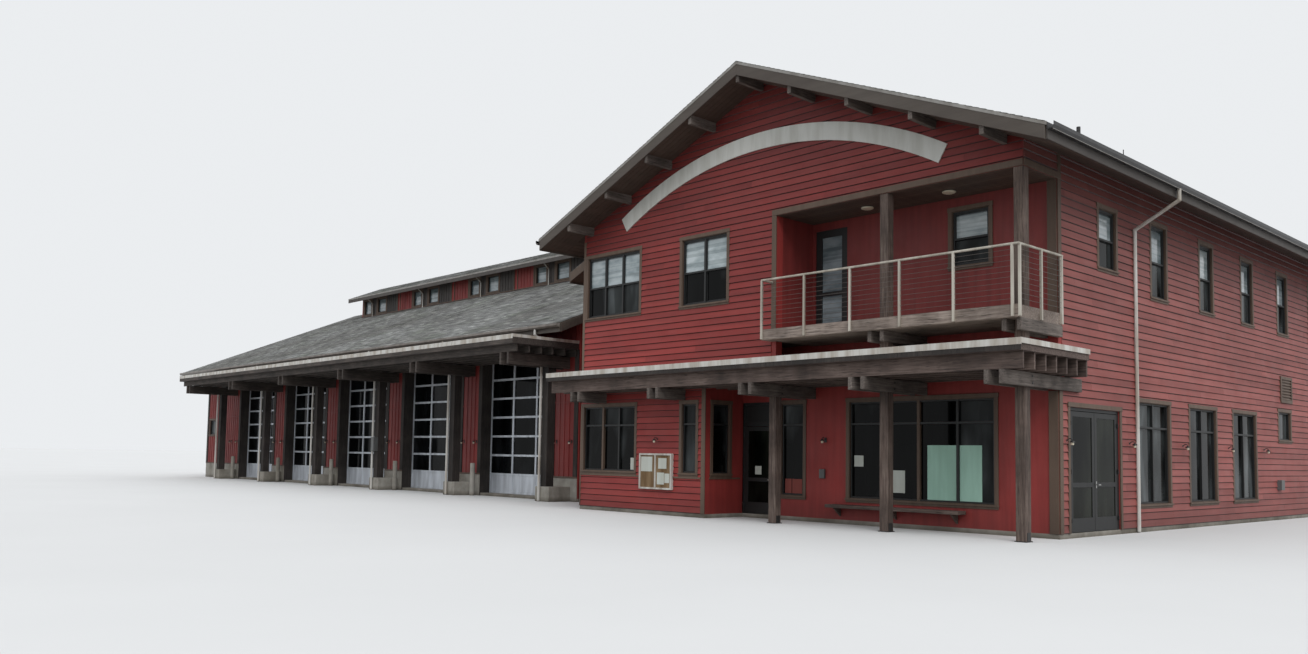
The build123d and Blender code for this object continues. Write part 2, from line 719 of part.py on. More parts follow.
def timber_posts():
    posts = []
    for i, top in enumerate((DECK_BOTTOM, DECK_BOTTOM, JOIST_Z)):
        x = post_x(i)
        posts.append(block(x, x + POST, 0, POST, 0, top))
    for i in (0, 1):
        x = post_x(i)
        posts.append(block(x, x + POST, 0, POST, UPPER_FLOOR_TOP, LOGGIA_TOP))
    return apart(posts)


def canopy_outline(grow):
    """The canopy's outline seen from above, grown outwards."""
    return [
        (-MAIN_W - CAN_LEFT - grow, -CAN_FRONT - grow),
        (CAN_RIGHT + grow, -CAN_FRONT - grow),
        (CAN_RIGHT + grow, CAN_RETURN_Y),
        (0, CAN_RETURN_Y),
        (0, RECESS),
        (ENTRY_CORNER_X - WALL, RECESS),
        (ENTRY_CORNER_X - WALL, WALL),
        (ENTRY_CORNER_X, WALL),
        (ENTRY_CORNER_X, 0),
        (-MAIN_W - CAN_LEFT - grow, 0),
    ]


def flat(points, z0, z1):
    """A flat shape in XY, pulled up."""
    face = make_face(Polyline(*[(x, y, z0) for x, y in points], close=True))
    return extrude(face, amount=z1 - z0, dir=(0, 0, 1))


def canopy_roof():
    """Boarded roof with a metal edge that stands proud at the top."""
    deck = flat(canopy_outline(-8), CAN_TOP - CAN_T, CAN_TOP - 40)
    edge = flat(canopy_outline(0), CAN_TOP - 40, CAN_TOP)
    roof = joined([deck, edge])
    for i in (0, 1):
        x = post_x(i)
        roof -= block(x - 1, x + POST + 1, -1, POST + 1, 0, CAN_TOP + 1)
    return roof


def joist_y(i):
    return -CAN_FRONT + 85 + i * JOIST_PITCH


def front_joists():
    joists = []
    for i in range(JOISTS):
        y = joist_y(i)
        left = -MAIN_W - CAN_LEFT + 20 if y < 0 else ENTRY_CORNER_X
        if y > RECESS:
            left = 0.0
        joists.append(block(left, CAN_RIGHT - 25, y - JOIST_T / 2, y + JOIST_T / 2, JOIST_Z, CAN_TOP - CAN_T))
    return joists


def front_beams():
    beams = []
    for i in range(5):
        x = post_x(i)
        back = RECESS if i < 3 else 0.0
        beams.append(block(x - BEAM_T, x, -BEAM_OUT, back, BEAM_Z, JOIST_Z))
        right_back = SIDE_BEAM_Y if i == 0 else back
        beams.append(block(x + POST, x + POST + BEAM_T, -BEAM_OUT, right_back, BEAM_Z, JOIST_Z))
    return beams


def balcony_deck():
    x0 = LOGGIA_LEFT_X - DECK_LEFT
    front = block(x0, DECK_RIGHT, -DECK_OUT, 0, DECK_BOTTOM, UPPER_FLOOR_TOP)
    inner = block(LOGGIA_LEFT_X, DECK_RIGHT, 0, RECESS, DECK_BOTTOM, UPPER_FLOOR_TOP)
    return joined([front, inner])


def deck_beams():
    beams = []
    z0 = DECK_BOTTOM - DECK_BEAM_H
    for i in (0, 1):
        x = post_x(i)
        beams.append(block(x - BEAM_T, x, -DECK_BEAM_OUT, RECESS, z0, DECK_BOTTOM))
        beams.append(block(x + POST, x + POST + BEAM_T, -DECK_BEAM_OUT, RECESS, z0, DECK_BOTTOM))
    return beams


def balcony_rail():
    """Posts, round top rail and stretched cables, in front and on the right."""
    half = RAIL_POST / 2
    z0 = DECK_BOTTOM + RAIL_DROP
    z1 = UPPER_FLOOR_TOP + RAIL_H
    front_y = -DECK_OUT - half
    side_x = DECK_RIGHT + half
    x0 = LOGGIA_LEFT_X - DECK_LEFT + half
    x1 = DECK_RIGHT - 46
    pieces = []
    for i in range(RAIL_BAYS + 1):
        x = x0 + i * (x1 - x0) / RAIL_BAYS
        pieces.append(block(x - half, x + half, front_y - half, front_y + half, z0, z1))
    y0 = -DECK_OUT
    y1 = RECESS - half
    for i in range(RAIL_SIDE_BAYS + 1):
        y = y0 + half + i * (y1 - y0 - half) / RAIL_SIDE_BAYS
        pieces.append(block(side_x - half, side_x + half, y - half, y + half, z0, z1))
    corner = (side_x, front_y, z1)
    pieces.append(pipe_run([(x0, -BOARD_T, z1), (x0, front_y, z1), corner, (side_x, RECESS, z1)], RAIL_R))
    pitch = RAIL_H / (CABLES + 1)
    c = CABLE_T / 2
    for i in range(CABLES):
        z = UPPER_FLOOR_TOP + (i + 1) * pitch
        pieces.append(block(x0, x1, front_y - c, front_y + c, z - c, z + c))
        pieces.append(block(side_x - c, side_x + c, y0 + half, y1, z - c, z + c))
    return joined(pieces)


# Doors. A leaf turns on knuckles in front of its face; the frame carries the matching knuckles.

ENTRY_AXIS = (ENTRY_LEFT_X + GAP / 2, RECESS + DOOR_SET - HINGE_R - HINGE_GAP)
SIDE_AXIS_LEFT = (-DOOR_SET + HINGE_R + HINGE_GAP, SIDE_DOOR_Y0 + JAMB + GAP / 2)
SIDE_AXIS_RIGHT = (-DOOR_SET + HINGE_R + HINGE_GAP, SIDE_DOOR_Y0 + SIDE_DOOR_W - JAMB - GAP / 2)


def leaf_knuckle(axis, z):
    """A leaf's round hinge knuckle, centred on z."""
    return Pos(axis[0], axis[1], z) * Cylinder(HINGE_R, KNUCKLE_H)


def frame_knuckle(axis, z):
    """A frame's hinge knuckle, centred on z."""
    return rod((axis[0], axis[1], z - KNUCKLE_H / 2), (axis[0], axis[1], z + KNUCKLE_H / 2), HINGE_R)


def hinge_heights(z0, z1):
    return [z0 + 0.1 * (z1 - z0), (z0 + z1) / 2, z1 - 0.1 * (z1 - z0)]


def leaf(side, a0, a1, z0, z1, hinge_at, axis):
    """A glazed door leaf: stiles and rails round a thin pane, with its knuckles."""
    front, back = DOOR_SET, DOOR_SET + DOOR_T
    solid = side.block(a0, a1, front, back, z0, z1)
    lock = lock_height(z0, z1)
    for low, high in ((z0 + KICK_H, lock - LOCK_RAIL / 2), (lock + LOCK_RAIL / 2, z1 - STILE)):
        for depth0, depth1 in ((front - 1, front + 8), (back - 8, back + 1)):
            solid -= side.block(a0 + STILE, a1 - STILE, depth0, depth1, low, high)
    pieces = [solid]
    hinge_a = a0 if hinge_at == "low" else a1
    toward = 1 if hinge_at == "low" else -1
    a_from, a_to = sorted((hinge_a - toward * GAP / 2, hinge_a + toward * 16))
    for z in hinge_heights(z0, z1):
        pieces.append(leaf_knuckle(axis, z))
        low, high = z - KNUCKLE_H / 2, z + KNUCKLE_H / 2
        pieces.append(side.block(a_from, a_to, DOOR_SET - HINGE_GAP - 2, DOOR_SET, low, high))
    return joined(pieces)


def lock_height(z0, z1):
    """Height of a leaf's middle rail."""
    return z0 + LOCK_SHARE * (z1 - z0)


def lever(side, at, toward, z):
    """A lever handle: a rose on the leaf, a neck, and a bar that runs along the leaf."""
    rose = side.block(at - 11, at + 11, DOOR_SET - 4, DOOR_SET, z - 32, z + 32)
    neck = side.block(at - 4, at + 4, DOOR_SET - LEVER_OUT, DOOR_SET - 4, z - 4, z + 4)
    a0, a1 = sorted((at - toward * 4, at + toward * LEVER_L))
    bar = side.block(a0, a1, DOOR_SET - LEVER_OUT - 6, DOOR_SET - LEVER_OUT, z - 5, z + 5)
    return joined([rose, neck, bar])


def frame_knuckles(side, a_jamb, toward, axis, z0, z1):
    """The frame's knuckles above and below each leaf knuckle, with their plates."""
    pieces = []
    for z in hinge_heights(z0, z1):
        for sign in (-1, 1):
            centre = z + sign * (KNUCKLE_H + 0.6)
            pieces.append(frame_knuckle(axis, centre))
            span = sorted((a_jamb + toward * GAP / 2, a_jamb - toward * 14))
            low, high = centre - KNUCKLE_H / 2, centre + KNUCKLE_H / 2
            pieces.append(side.block(span[0], span[1], DOOR_SET - HINGE_GAP - 4, DOOR_SET, low, high))
    return pieces


def entry_frame():
    x0, x1 = ENTRY_CORNER_X, ENTRY_WALL_X
    front, back = DOOR_SET, DOOR_SET + 60
    frame = RECESSED.block(x0, x1, front, back, BASE, ENTRY_TRANSOM_TOP)
    frame -= RECESSED.block(ENTRY_LEFT_X, ENTRY_LEFT_X + ENTRY_W, front - 1, back + 1, BASE - 1, ENTRY_HEAD)
    frame -= RECESSED.block(ENTRY_LEFT_X, ENTRY_LEFT_X + ENTRY_W, front - 1, back + 1, ENTRY_HEAD + 2 * JAMB, SHOP_HEAD)
    pane = RECESSED.block(ENTRY_LEFT_X, ENTRY_LEFT_X + ENTRY_W, front + 20, front + 26, ENTRY_HEAD + 2 * JAMB, SHOP_HEAD)
    stop = RECESSED.block(ENTRY_LEFT_X - 1, ENTRY_LEFT_X + 10, front + DOOR_T + 6, back, BASE, ENTRY_HEAD)
    hinges = frame_knuckles(RECESSED, ENTRY_LEFT_X, 1, ENTRY_AXIS, BASE + GAP, ENTRY_HEAD - GAP)
    return joined([frame, pane, stop] + hinges)


def side_frame():
    y0, y1 = SIDE_DOOR_Y0, SIDE_DOOR_Y0 + SIDE_DOOR_W
    front, back = DOOR_SET, DOOR_SET + 60
    frame = RIGHT.block(y0, y1, front, back, BASE, SIDE_DOOR_HEAD)
    frame -= RIGHT.block(y0 + JAMB, y1 - JAMB, front - 1, back + 1, BASE - 1, SIDE_DOOR_HEAD - JAMB)
    low = frame_knuckles(RIGHT, y0 + JAMB, 1, SIDE_AXIS_LEFT, BASE + GAP, SIDE_DOOR_HEAD - JAMB - GAP)
    high = frame_knuckles(RIGHT, y1 - JAMB, -1, SIDE_AXIS_RIGHT, BASE + GAP, SIDE_DOOR_HEAD - JAMB - GAP)
    return joined([frame] + low + high)


def balcony_door():
    """The upper door, which stays shut: frame, leaf and pane in one."""
    x0, x1, z0, z1 = balcony_door_place()
    solid = RECESSED.block(x0, x1, FRAME_SET, FRAME_D, z0, z1)
    edge = JAMB + STILE
    lock = lock_height(z0, z1)
    for low, high in ((z0 + KICK_H, lock - LOCK_RAIL / 2), (lock + LOCK_RAIL / 2, z1 - edge)):
        solid -= RECESSED.block(x0 + edge, x1 - edge, FRAME_SET - 1, FRAME_D / 2, low, high)
    return solid


def door_frames():
    return apart([entry_frame(), side_frame(), balcony_door()])


def entry_door():
    a0, a1 = ENTRY_LEFT_X + GAP, ENTRY_LEFT_X + ENTRY_W - GAP
    return leaf(RECESSED, a0, a1, BASE + GAP, ENTRY_HEAD - GAP, "low", ENTRY_AXIS)


def entry_lever():
    z = lock_height(BASE + GAP, ENTRY_HEAD - GAP)
    return lever(RECESSED, ENTRY_LEFT_X + ENTRY_W - GAP - STILE / 2, -1, z)


SIDE_LEAF_W = (SIDE_DOOR_W - 2 * JAMB - 3 * GAP) / 2
SIDE_LEAF_TOP = SIDE_DOOR_HEAD - JAMB - GAP


def side_door_left():
    a0 = SIDE_DOOR_Y0 + JAMB + GAP
    return leaf(RIGHT, a0, a0 + SIDE_LEAF_W, BASE + GAP, SIDE_LEAF_TOP, "low", SIDE_AXIS_LEFT)


def side_door_right():
    a1 = SIDE_DOOR_Y0 + SIDE_DOOR_W - JAMB - GAP
    return leaf(RIGHT, a1 - SIDE_LEAF_W, a1, BASE + GAP, SIDE_LEAF_TOP, "high", SIDE_AXIS_RIGHT)


def side_lever():
    z = lock_height(BASE + GAP, SIDE_LEAF_TOP)
    return lever(RIGHT, SIDE_DOOR_Y0 + SIDE_DOOR_W - JAMB - GAP - SIDE_LEAF_W + STILE / 2, 1, z)


# Trim, sign and small fittings

BOARD_W = 62.0
BOARD_T = 12.0


def trim_boards():
    """Corner boards and the board round the loggia."""
    front_z = CAN_TOP + 2
    boards = [
        block(-MAIN_W, -MAIN_W + BOARD_W - 18, -BOARD_T, 0, front_z, main_under(-MAIN_W) - 95),
        block(-MAIN_W, -MAIN_W + BOARD_W - 40, -BOARD_T, 0, BASE, BEAM_Z - 2),
        block(ENTRY_CORNER_X - BOARD_W, ENTRY_CORNER_X, -BOARD_T, 0, BASE, JOIST_Z - 2),
        block(LOGGIA_LEFT_X - BOARD_W, LOGGIA_LEFT_X, -BOARD_T, 0, UPPER_FLOOR_TOP + 2, LOGGIA_TOP),
        block(LOGGIA_LEFT_X - BOARD_W, 0, -BOARD_T, 0, LOGGIA_TOP + 1, LOGGIA_TOP + BOARD_W),
        block(0, BOARD_T, RECESS, RECESS + BOARD_W, BASE, BEAM_Z - 2),
        block(0, BOARD_T, RECESS, RECESS + BOARD_W, UPPER_FLOOR_TOP + 2, main_under(BOARD_T)),
        block(-BOARD_W - 30, -1, RECESS - BOARD_T, RECESS, UPPER_FLOOR_TOP + 2, LOGGIA_TOP - 2),
        block(-BOARD_W - 30, -1, RECESS - BOARD_T, RECESS, BASE, BEAM_Z - 2),
    ]
    return apart(boards)


SIGN_R = 4610.0
SIGN_TOP = 4268.0
SIGN_BAND = 190.0
SIGN_HALF_ANGLE = 30.0
SIGN_T = 20.0


def sign_board():
    """The arched board on the gable."""
    centre_z = SIGN_TOP - SIGN_R
    ring = Circle(SIGN_R) - Circle(SIGN_R - SIGN_BAND)
    reach = 2 * SIGN_R
    half = SIGN_HALF_ANGLE
    wedge = make_face(Polyline((0, 0), polar(reach, 90 - half), polar(reach, 90 + half), close=True))
    plane = Plane(origin=(MAIN_MID_X, 0, centre_z), x_dir=(1, 0, 0), z_dir=(0, -1, 0))
    return extrude(plane * (ring & wedge), amount=SIGN_T)


def polar(radius, degrees):
    """A point at a radius and an angle."""
    point = Vector(radius, 0, 0).rotate(Axis.Z, degrees)
    return (point.X, point.Y)


NOTICE_IN = 130.0  # right of the shop window
NOTICE_W = 560.0
NOTICE_LOW = 300.0
NOTICE_TOP = 725.0
NOTICE_X = -MAIN_W + SHOP_IN + SHOP_W + NOTICE_IN


def notice_board():
    x0, x1, z0, z1 = NOTICE_X, NOTICE_X + NOTICE_W, NOTICE_LOW, NOTICE_TOP
    board = block(x0, x1, -45, 0, z0, z1)
    mid = (x0 + x1) / 2
    for a, b in ((x0 + 22, mid - 10), (mid + 10, x1 - 22)):
        board -= block(a, b, -46, -30, z0 + 22, z1 - 22)
    return board


SHELF_PAST = 214.0  # beyond the wide window's left edge
SHELF_SHORT = 306.0  # short of its right edge
SHELF_TOP = 209.0


def window_shelf():
    x0, x1, z = WIDE_LEFT_X - SHELF_PAST, -WIDE_IN - SHELF_SHORT, SHELF_TOP
    shelf = block(x0, x1, RECESS - 150, RECESS, z - 34, z)
    pieces = [shelf]
    for share in (0.06, 0.5, 0.94):
        x = x0 + share * (x1 - x0)
        points = [(RECESS, z - 34), (RECESS - 120, z - 34), (RECESS, z - 130)]
        pieces.append(slab_yz(points, x - 12, x + 12))
    return joined(pieces)


LAMP_Z = 885.0
ENTRY_LAMP_IN = 308.0  # right of the sidelight
PIER_LAMP_DX = 185.0  # each side of a pier's middle
SIDE_LAMP_Y = (760.0, 2120.0, 3500.0, 4900.0, 6150.0)  # between the doors and windows


def lamp(side, a, z):
    """A small shaded wall lamp: wall plate, arm and a shade open at the bottom."""
    plate = side.block(a - 22, a + 22, -8, 0, z - 30, z + 30)
    arm = side.block(a - 7, a + 7, -60, -8, z + 10, z + 24)
    shade = side.block(a - 26, a + 26, -86, -34, z - 32, z + 10)
    shade -= side.block(a - 20, a + 20, -80, -40, z - 33, z)
    return joined([plate, arm, shade])


def wall_lamps():
    lamps = []
    for i in range(BAYS + 1):
        for dx in (-PIER_LAMP_DX, PIER_LAMP_DX):
            lamps.append(lamp(WING_FRONT, pier_x(i) + dx, LAMP_Z))
    lamps.append(lamp(FRONT, NOTICE_X + NOTICE_W / 2, LAMP_Z))
    lamps.append(lamp(RECESSED, SIDELIGHT_RIGHT_X + ENTRY_LAMP_IN, LAMP_Z + 10))
    for y in SIDE_LAMP_Y:
        lamps.append(lamp(RIGHT, y, LAMP_Z))
    return apart(lamps)


LOUVRE = (6843.0, 7312.0, 1530.0, 1880.0)
LOUVRE_BORDER = 40.0
LOUVRE_BLADES = 7
LOUVRE_OUT = 22.0


def side_louvre():
    """The vent on the side wall: a border with sloping blades."""
    y0, y1, z0, z1 = LOUVRE
    b = LOUVRE_BORDER
    border = RIGHT.block(y0, y1, -LOUVRE_OUT, 0, z0, z1)
    border -= RIGHT.block(y0 + b, y1 - b, -LOUVRE_OUT - 1, -4, z0 + b, z1 - b)
    pitch = (z1 - z0 - 2 * b) / LOUVRE_BLADES
    blades = []
    for i in range(LOUVRE_BLADES):
        z = z0 + b + i * pitch
        points = [(3, z + pitch - 9), (LOUVRE_OUT - 2, z + 3), (LOUVRE_OUT - 2, z + 9), (3, z + pitch - 3)]
        blades.append(slab_xz(points, y0 + b - 1, y1 - b + 1))
    return joined([border] + blades)


METER_BOX = (6645.0, 6775.0, 385.0, 515.0, 60.0)
POST_BOX = (-20.0, 78.0, 90.0, 700.0, 960.0)
CALL_BOX_X = SIDELIGHT_RIGHT_X + 274.0


def wall_boxes():
    """Small service boxes: one on the side wall, one beside the wide window, one on a wing post."""
    y0, y1, z0, z1, out = METER_BOX
    meter = RIGHT.block(y0, y1, -out, 0, z0, z1)
    call = RECESSED.block(CALL_BOX_X - 35, CALL_BOX_X + 35, -26, 0, 480, 580)
    left, right, deep, low, high = POST_BOX
    x = pier_x(2)
    switch = block(x + left, x + right, WING_POST_Y - deep, WING_POST_Y, low, high)
    return apart([meter, call, switch])


ROOF_PIPES = ((-900.0, 3035.0, 20.0, 400.0), (-900.0, 4249.0, 6.0, 490.0))  # X, Y, radius, height


def roof_pipes():
    """A vent pipe and a thin rod on the right slope, each on a flashing cone."""
    pipes = []
    for x, y, radius, height in ROOF_PIPES:
        top = main_under(x) + MAIN_ROOF_T
        sleeve = rod((x, y, top + 3), (x, y, top + 60), 2.2 * radius, 60.0)
        pipe = rod((x, y, top + 30), (x, y, top + height), radius)
        pipes.append(joined([sleeve, pipe]) - main_slope(1))
    return apart(pipes)


# Wing walls and roofs

def wing_front_wall():
    """Piers with a header over five bay doors."""
    y0, y1 = WING_FRONT_Y, WING_FRONT_Y + WING_WALL
    points = [(y0, BASE), (y1, BASE), (y1, wing_under(y1)), (y0, wing_under(y0))]
    wall = slab_yz(points, WING_LEFT_X, WING_RIGHT_X)
    for i in range(BAYS):
        half = (BAY - PIER_W) / 2
        wall -= block(bay_mid(i) - half, bay_mid(i) + half, y0 - 1, y1 + 1, 0, BAY_DOOR_H)
    return cut_windows(wall, WING_FRONT, wing_front_windows(), WING_WALL)


def wing_left_wall():
    y0, y1 = WING_FRONT_Y + WING_WALL, DEPTH - WALL
    points = [(y0, BASE), (y0, wing_under(y0)), (WING_MID_Y, wing_under(WING_MID_Y)), (y1, wing_under(y1)), (y1, BASE)]
    wall = slab_yz(points, WING_LEFT_X, WING_LEFT_X + WALL)
    return cut_windows(wall, WING_LEFT, wing_left_windows(), WALL)


def wing_rear_wall():
    y0, y1 = DEPTH - WALL, DEPTH
    points = [(y0, BASE), (y1, BASE), (y1, wing_under(y1)), (y0, wing_under(y0))]
    wall = slab_yz(points, WING_LEFT_X, -MAIN_W)
    return cut_windows(wall, REAR, wing_rear_windows(), WALL)


def link_wall():
    """The wing's short right wall and the wall that joins it to the main block."""
    y0, y1 = WING_FRONT_Y + WING_WALL, LINK_Y + WALL
    points = [(y0, BASE), (y1, BASE), (y1, wing_under(y1)), (y0, wing_under(y0))]
    side = slab_yz(points, WING_RIGHT_X - WALL, WING_RIGHT_X)
    points = [(LINK_Y, BASE), (y1, BASE), (y1, wing_under(y1)), (LINK_Y, wing_under(LINK_Y))]
    front = slab_yz(points, WING_RIGHT_X, -MAIN_W)
    return joined([side, front])


def main_roof_room():
    """The space that the main roof and block take, to be kept out of the wing roof."""
    edge = -MAIN_W - MAIN_OVERHANG - FASCIA_T - GUTTER_W - 6
    low = MAIN_EAVE_Z - FASCIA_DROP - 8
    top = MAIN_EAVE_Z + MAIN_ROOF_T
    points = [
        (edge, low),
        (edge, top),
        (-MAIN_W - MAIN_OVERHANG, top),
        (MAIN_MID_X, main_under(MAIN_MID_X) + MAIN_ROOF_T),
        (MAIN_MID_X, 0),
        (-MAIN_W, 0),
        (-MAIN_W, low),
    ]
    return slab_xz(points, 0, DEPTH + 2000)


def whole_wing_roof():
    """Both slopes of the wing roof, carried on over the main roof's left slope."""
    front, back = WING_FRONT_Y - WING_EAVE_OUT, DEPTH + WING_EAVE_OUT
    places = (front, WING_MID_Y, back)
    points = [(y, wing_under(y)) for y in places] + [(y, wing_top(y)) for y in reversed(places)]
    roof = slab_yz(points, WING_LEFT_X - WING_RAKE_LEFT, MAIN_MID_X)
    roof -= main_roof_room()
    return roof - block(LOW_RIGHT_X, 0, 0, LINK_Y - WALL, 0, MAIN_EAVE_Z)


WELL_X = (MON_LEFT_X + MON_WALL, MON_RIGHT_X - MON_WALL)
WELL_Y = (MON_FRONT_Y + MON_WALL, 2 * WING_MID_Y - MON_FRONT_Y - MON_WALL)


def wing_roof_part(x0, x1, y0, y1):
    """The share of the wing roof between four planes round the monitor's opening."""
    return whole_wing_roof() & block(x0, x1, y0, y1, 0, monitor_top(WING_MID_Y))


def wing_roof_left():
    return wing_roof_part(WING_LEFT_X - WING_RAKE_LEFT, WELL_X[0], 0, 2 * DEPTH)


def wing_roof_right():
    return wing_roof_part(WELL_X[1], 0, 0, 2 * DEPTH)


def wing_roof_front():
    return wing_roof_part(*WELL_X, 0, WELL_Y[0])


def wing_roof_back():
    return wing_roof_part(*WELL_X, WELL_Y[1], 2 * DEPTH)


def monitor_walls():
    """Four walls that stand on the wing roof."""
    y0, y1 = MON_FRONT_Y, 2 * WING_MID_Y - MON_FRONT_Y
    under = MON_ROOF_T
    outer = [
        (y0, wing_top(y0)),
        (WING_MID_Y, wing_top(WING_MID_Y)),
        (y1, wing_top(y1)),
        (y1, monitor_top(y1) - under),
        (WING_MID_Y, monitor_top(WING_MID_Y) - under),
        (y0, monitor_top(y0) - under),
    ]
    walls = slab_yz(outer, MON_LEFT_X, MON_RIGHT_X)
    low, high = WING_EAVE_TOP, monitor_top(WING_MID_Y)
    walls -= block(MON_LEFT_X + MON_WALL, MON_RIGHT_X - MON_WALL, y0 + MON_WALL, y1 - MON_WALL, low, high)
    return cut_windows(walls, CLERESTORY, clerestory_windows(), MON_WALL)


def monitor_roof():
    y0 = MON_FRONT_Y - MON_OVERHANG
    y1 = 2 * WING_MID_Y - y0
    t = MON_ROOF_T
    mid = WING_MID_Y
    points = [
        (y0, monitor_top(y0) - t),
        (mid, monitor_top(mid) - t),
        (y1, monitor_top(y1) - t),
        (y1, monitor_top(y1)),
        (mid, monitor_top(mid)),
        (y0, monitor_top(y0)),
    ]
    return slab_yz(points, MON_LEFT_X - MON_RAKE, MON_RIGHT_X + MON_RAKE)


# Bay doors: glazed sectional doors that stay shut

DOOR_COLUMNS = 3
SECTIONS = 7
BAY_STILE = 40.0
BAY_RAIL = 34.0
BAY_DOOR_T = 40.0


def bay_door_grid():
    """Centres of the stiles and rails of one door, from its middle and the floor."""
    width = BAY - PIER_W + 30
    stiles = [-width / 2 + BAY_STILE / 2 + i * (width - BAY_STILE) / DOOR_COLUMNS for i in range(DOOR_COLUMNS + 1)]
    height = (BAY_DOOR_H + 20 - BASE) / SECTIONS
    rails = [BASE + i * height for i in range(SECTIONS + 1)]
    return width, stiles, height, rails


def bay_door(i):
    """Stiles and rails with a solid bottom section."""
    width, stiles, height, rails = bay_door_grid()
    x, y0 = bay_mid(i), WING_FRONT_Y + WING_WALL
    y1 = y0 + BAY_DOOR_T
    door = block(x - width / 2, x + width / 2, y0, y1, BASE, rails[-1])
    for j in range(1, SECTIONS):
        for k in range(DOOR_COLUMNS):
            left, right = stiles[k] + BAY_STILE / 2, stiles[k + 1] - BAY_STILE / 2
            low, high = rails[j] + BAY_RAIL / 2, rails[j + 1] - BAY_RAIL / 2
            door -= block(x + left, x + right, y0 - 1, y1 + 1, low, high)
    for k in range(DOOR_COLUMNS):
        left, right = stiles[k] + BAY_STILE / 2, stiles[k + 1] - BAY_STILE / 2
        door -= block(x + left, x + right, y0 - 1, y0 + 8, rails[0] + BAY_RAIL, rails[1] - BAY_RAIL / 2)
    return door


def bay_doors():
    return apart([bay_door(i) for i in range(BAYS)])


def bay_glass():
    _, stiles, _, rails = bay_door_grid()
    y = WING_FRONT_Y + WING_WALL + BAY_DOOR_T / 2
    panes = []
    for i in range(BAYS):
        x = bay_mid(i)
        for j in range(1, SECTIONS):
            for k in range(DOOR_COLUMNS):
                left, right = stiles[k] + BAY_STILE / 2, stiles[k + 1] - BAY_STILE / 2
                low, high = rails[j] + BAY_RAIL / 2, rails[j + 1] - BAY_RAIL / 2
                panes.append(block(x + left, x + right, y - GLASS_T / 2, y + GLASS_T / 2, low, high))
    return apart(panes)


# Posts and canopy of the wing

WING_POST = 140.0
WING_POST_Y = 824.0
PLINTH_H = 220.0
PLINTH_HALF = 170.0
WING_CANOPY_FRONT = 0.0
WING_CANOPY_LEFT = 380.0
WING_CANOPY_RIGHT = 305.0
WING_CANOPY_TOP = 2386.0
WING_CANOPY_T = 128.0
WING_JOIST_H = 106.0
WING_BEAM_H = 174.0
WING_BEAM_OUT = 72.0
WING_JOISTS = 6


def wing_posts():
    posts = []
    top = WING_CANOPY_TOP - WING_CANOPY_T - WING_JOIST_H
    for i in range(BAYS + 1):
        x = pier_x(i)
        posts.append(block(x - WING_POST / 2, x + WING_POST / 2, WING_POST_Y, WING_POST_Y + WING_POST, PLINTH_H, top))
    return apart(posts)


def concrete_bases():
    bases = []
    for i in range(BAYS + 1):
        x = pier_x(i)
        bases.append(block(x - PLINTH_HALF, x + PLINTH_HALF, WING_POST_Y - 20, WING_FRONT_Y, 0, PLINTH_H))
    return apart(bases)


def canopy_right_x():
    return PIER_0_X + WING_CANOPY_RIGHT


def canopy_left_x():
    return pier_x(BAYS) - WING_CANOPY_LEFT


def wing_canopy():
    z1 = WING_CANOPY_TOP
    roof = block(canopy_left_x(), canopy_right_x(), WING_CANOPY_FRONT, WING_FRONT_Y, z1 - WING_CANOPY_T, z1)
    for i in range(BAYS + 1):
        x = pier_x(i) + WING_PIPE_DX
        room = PIPE_R + 14
        roof -= block(x - room, x + room, WING_PIPE_Y - 5 * PIPE_R, WING_PIPE_Y + room, z1 - WING_CANOPY_T - 1, z1 + 1)
    return roof


def wing_beams():
    z1 = WING_CANOPY_TOP - WING_CANOPY_T - WING_JOIST_H
    z0 = z1 - WING_BEAM_H
    beams = []
    for i in range(BAYS + 1):
        for sign in (-1, 1):
            near = pier_x(i) + sign * WING_POST / 2
            a, b = sorted((near, near + sign * BEAM_T))
            beams.append(block(a, b, WING_BEAM_OUT, WING_FRONT_Y, z0, z1))
    return beams


def wing_joists():
    z0 = WING_CANOPY_TOP - WING_CANOPY_T - WING_JOIST_H
    joists = []
    for i in range(WING_JOISTS):
        y = WING_BEAM_OUT + 30 + i * (WING_FRONT_Y - WING_BEAM_OUT - 60) / (WING_JOISTS - 1)
        if abs(y - WING_PIPE_Y) < PIPE_R + JOIST_T:
            y = WING_PIPE_Y - PIPE_R - JOIST_T
        x0, x1 = canopy_left_x() + 25, canopy_right_x() - 25
        joists.append(block(x0, x1, y - JOIST_T / 2, y + JOIST_T / 2, z0, z0 + WING_JOIST_H))
    return joists


BOLLARD_R = 40.0
BOLLARD_H = 532.0
BOLLARD_Y = 1060.0
BOLLARD_SIDES = 20
BOLLARD_EDGE = 10.0


def bollards():
    posts = []
    for i in range(1, BAYS + 1):
        x = pier_x(i) + PIER_W / 2 - 20
        shaft = extrude(Pos(x, BOLLARD_Y, 0) * RegularPolygon(BOLLARD_R, BOLLARD_SIDES), amount=BOLLARD_H)
        posts.append(chamfer(shaft.edges().group_by(Axis.Z)[-1], BOLLARD_EDGE))
    return apart(posts)


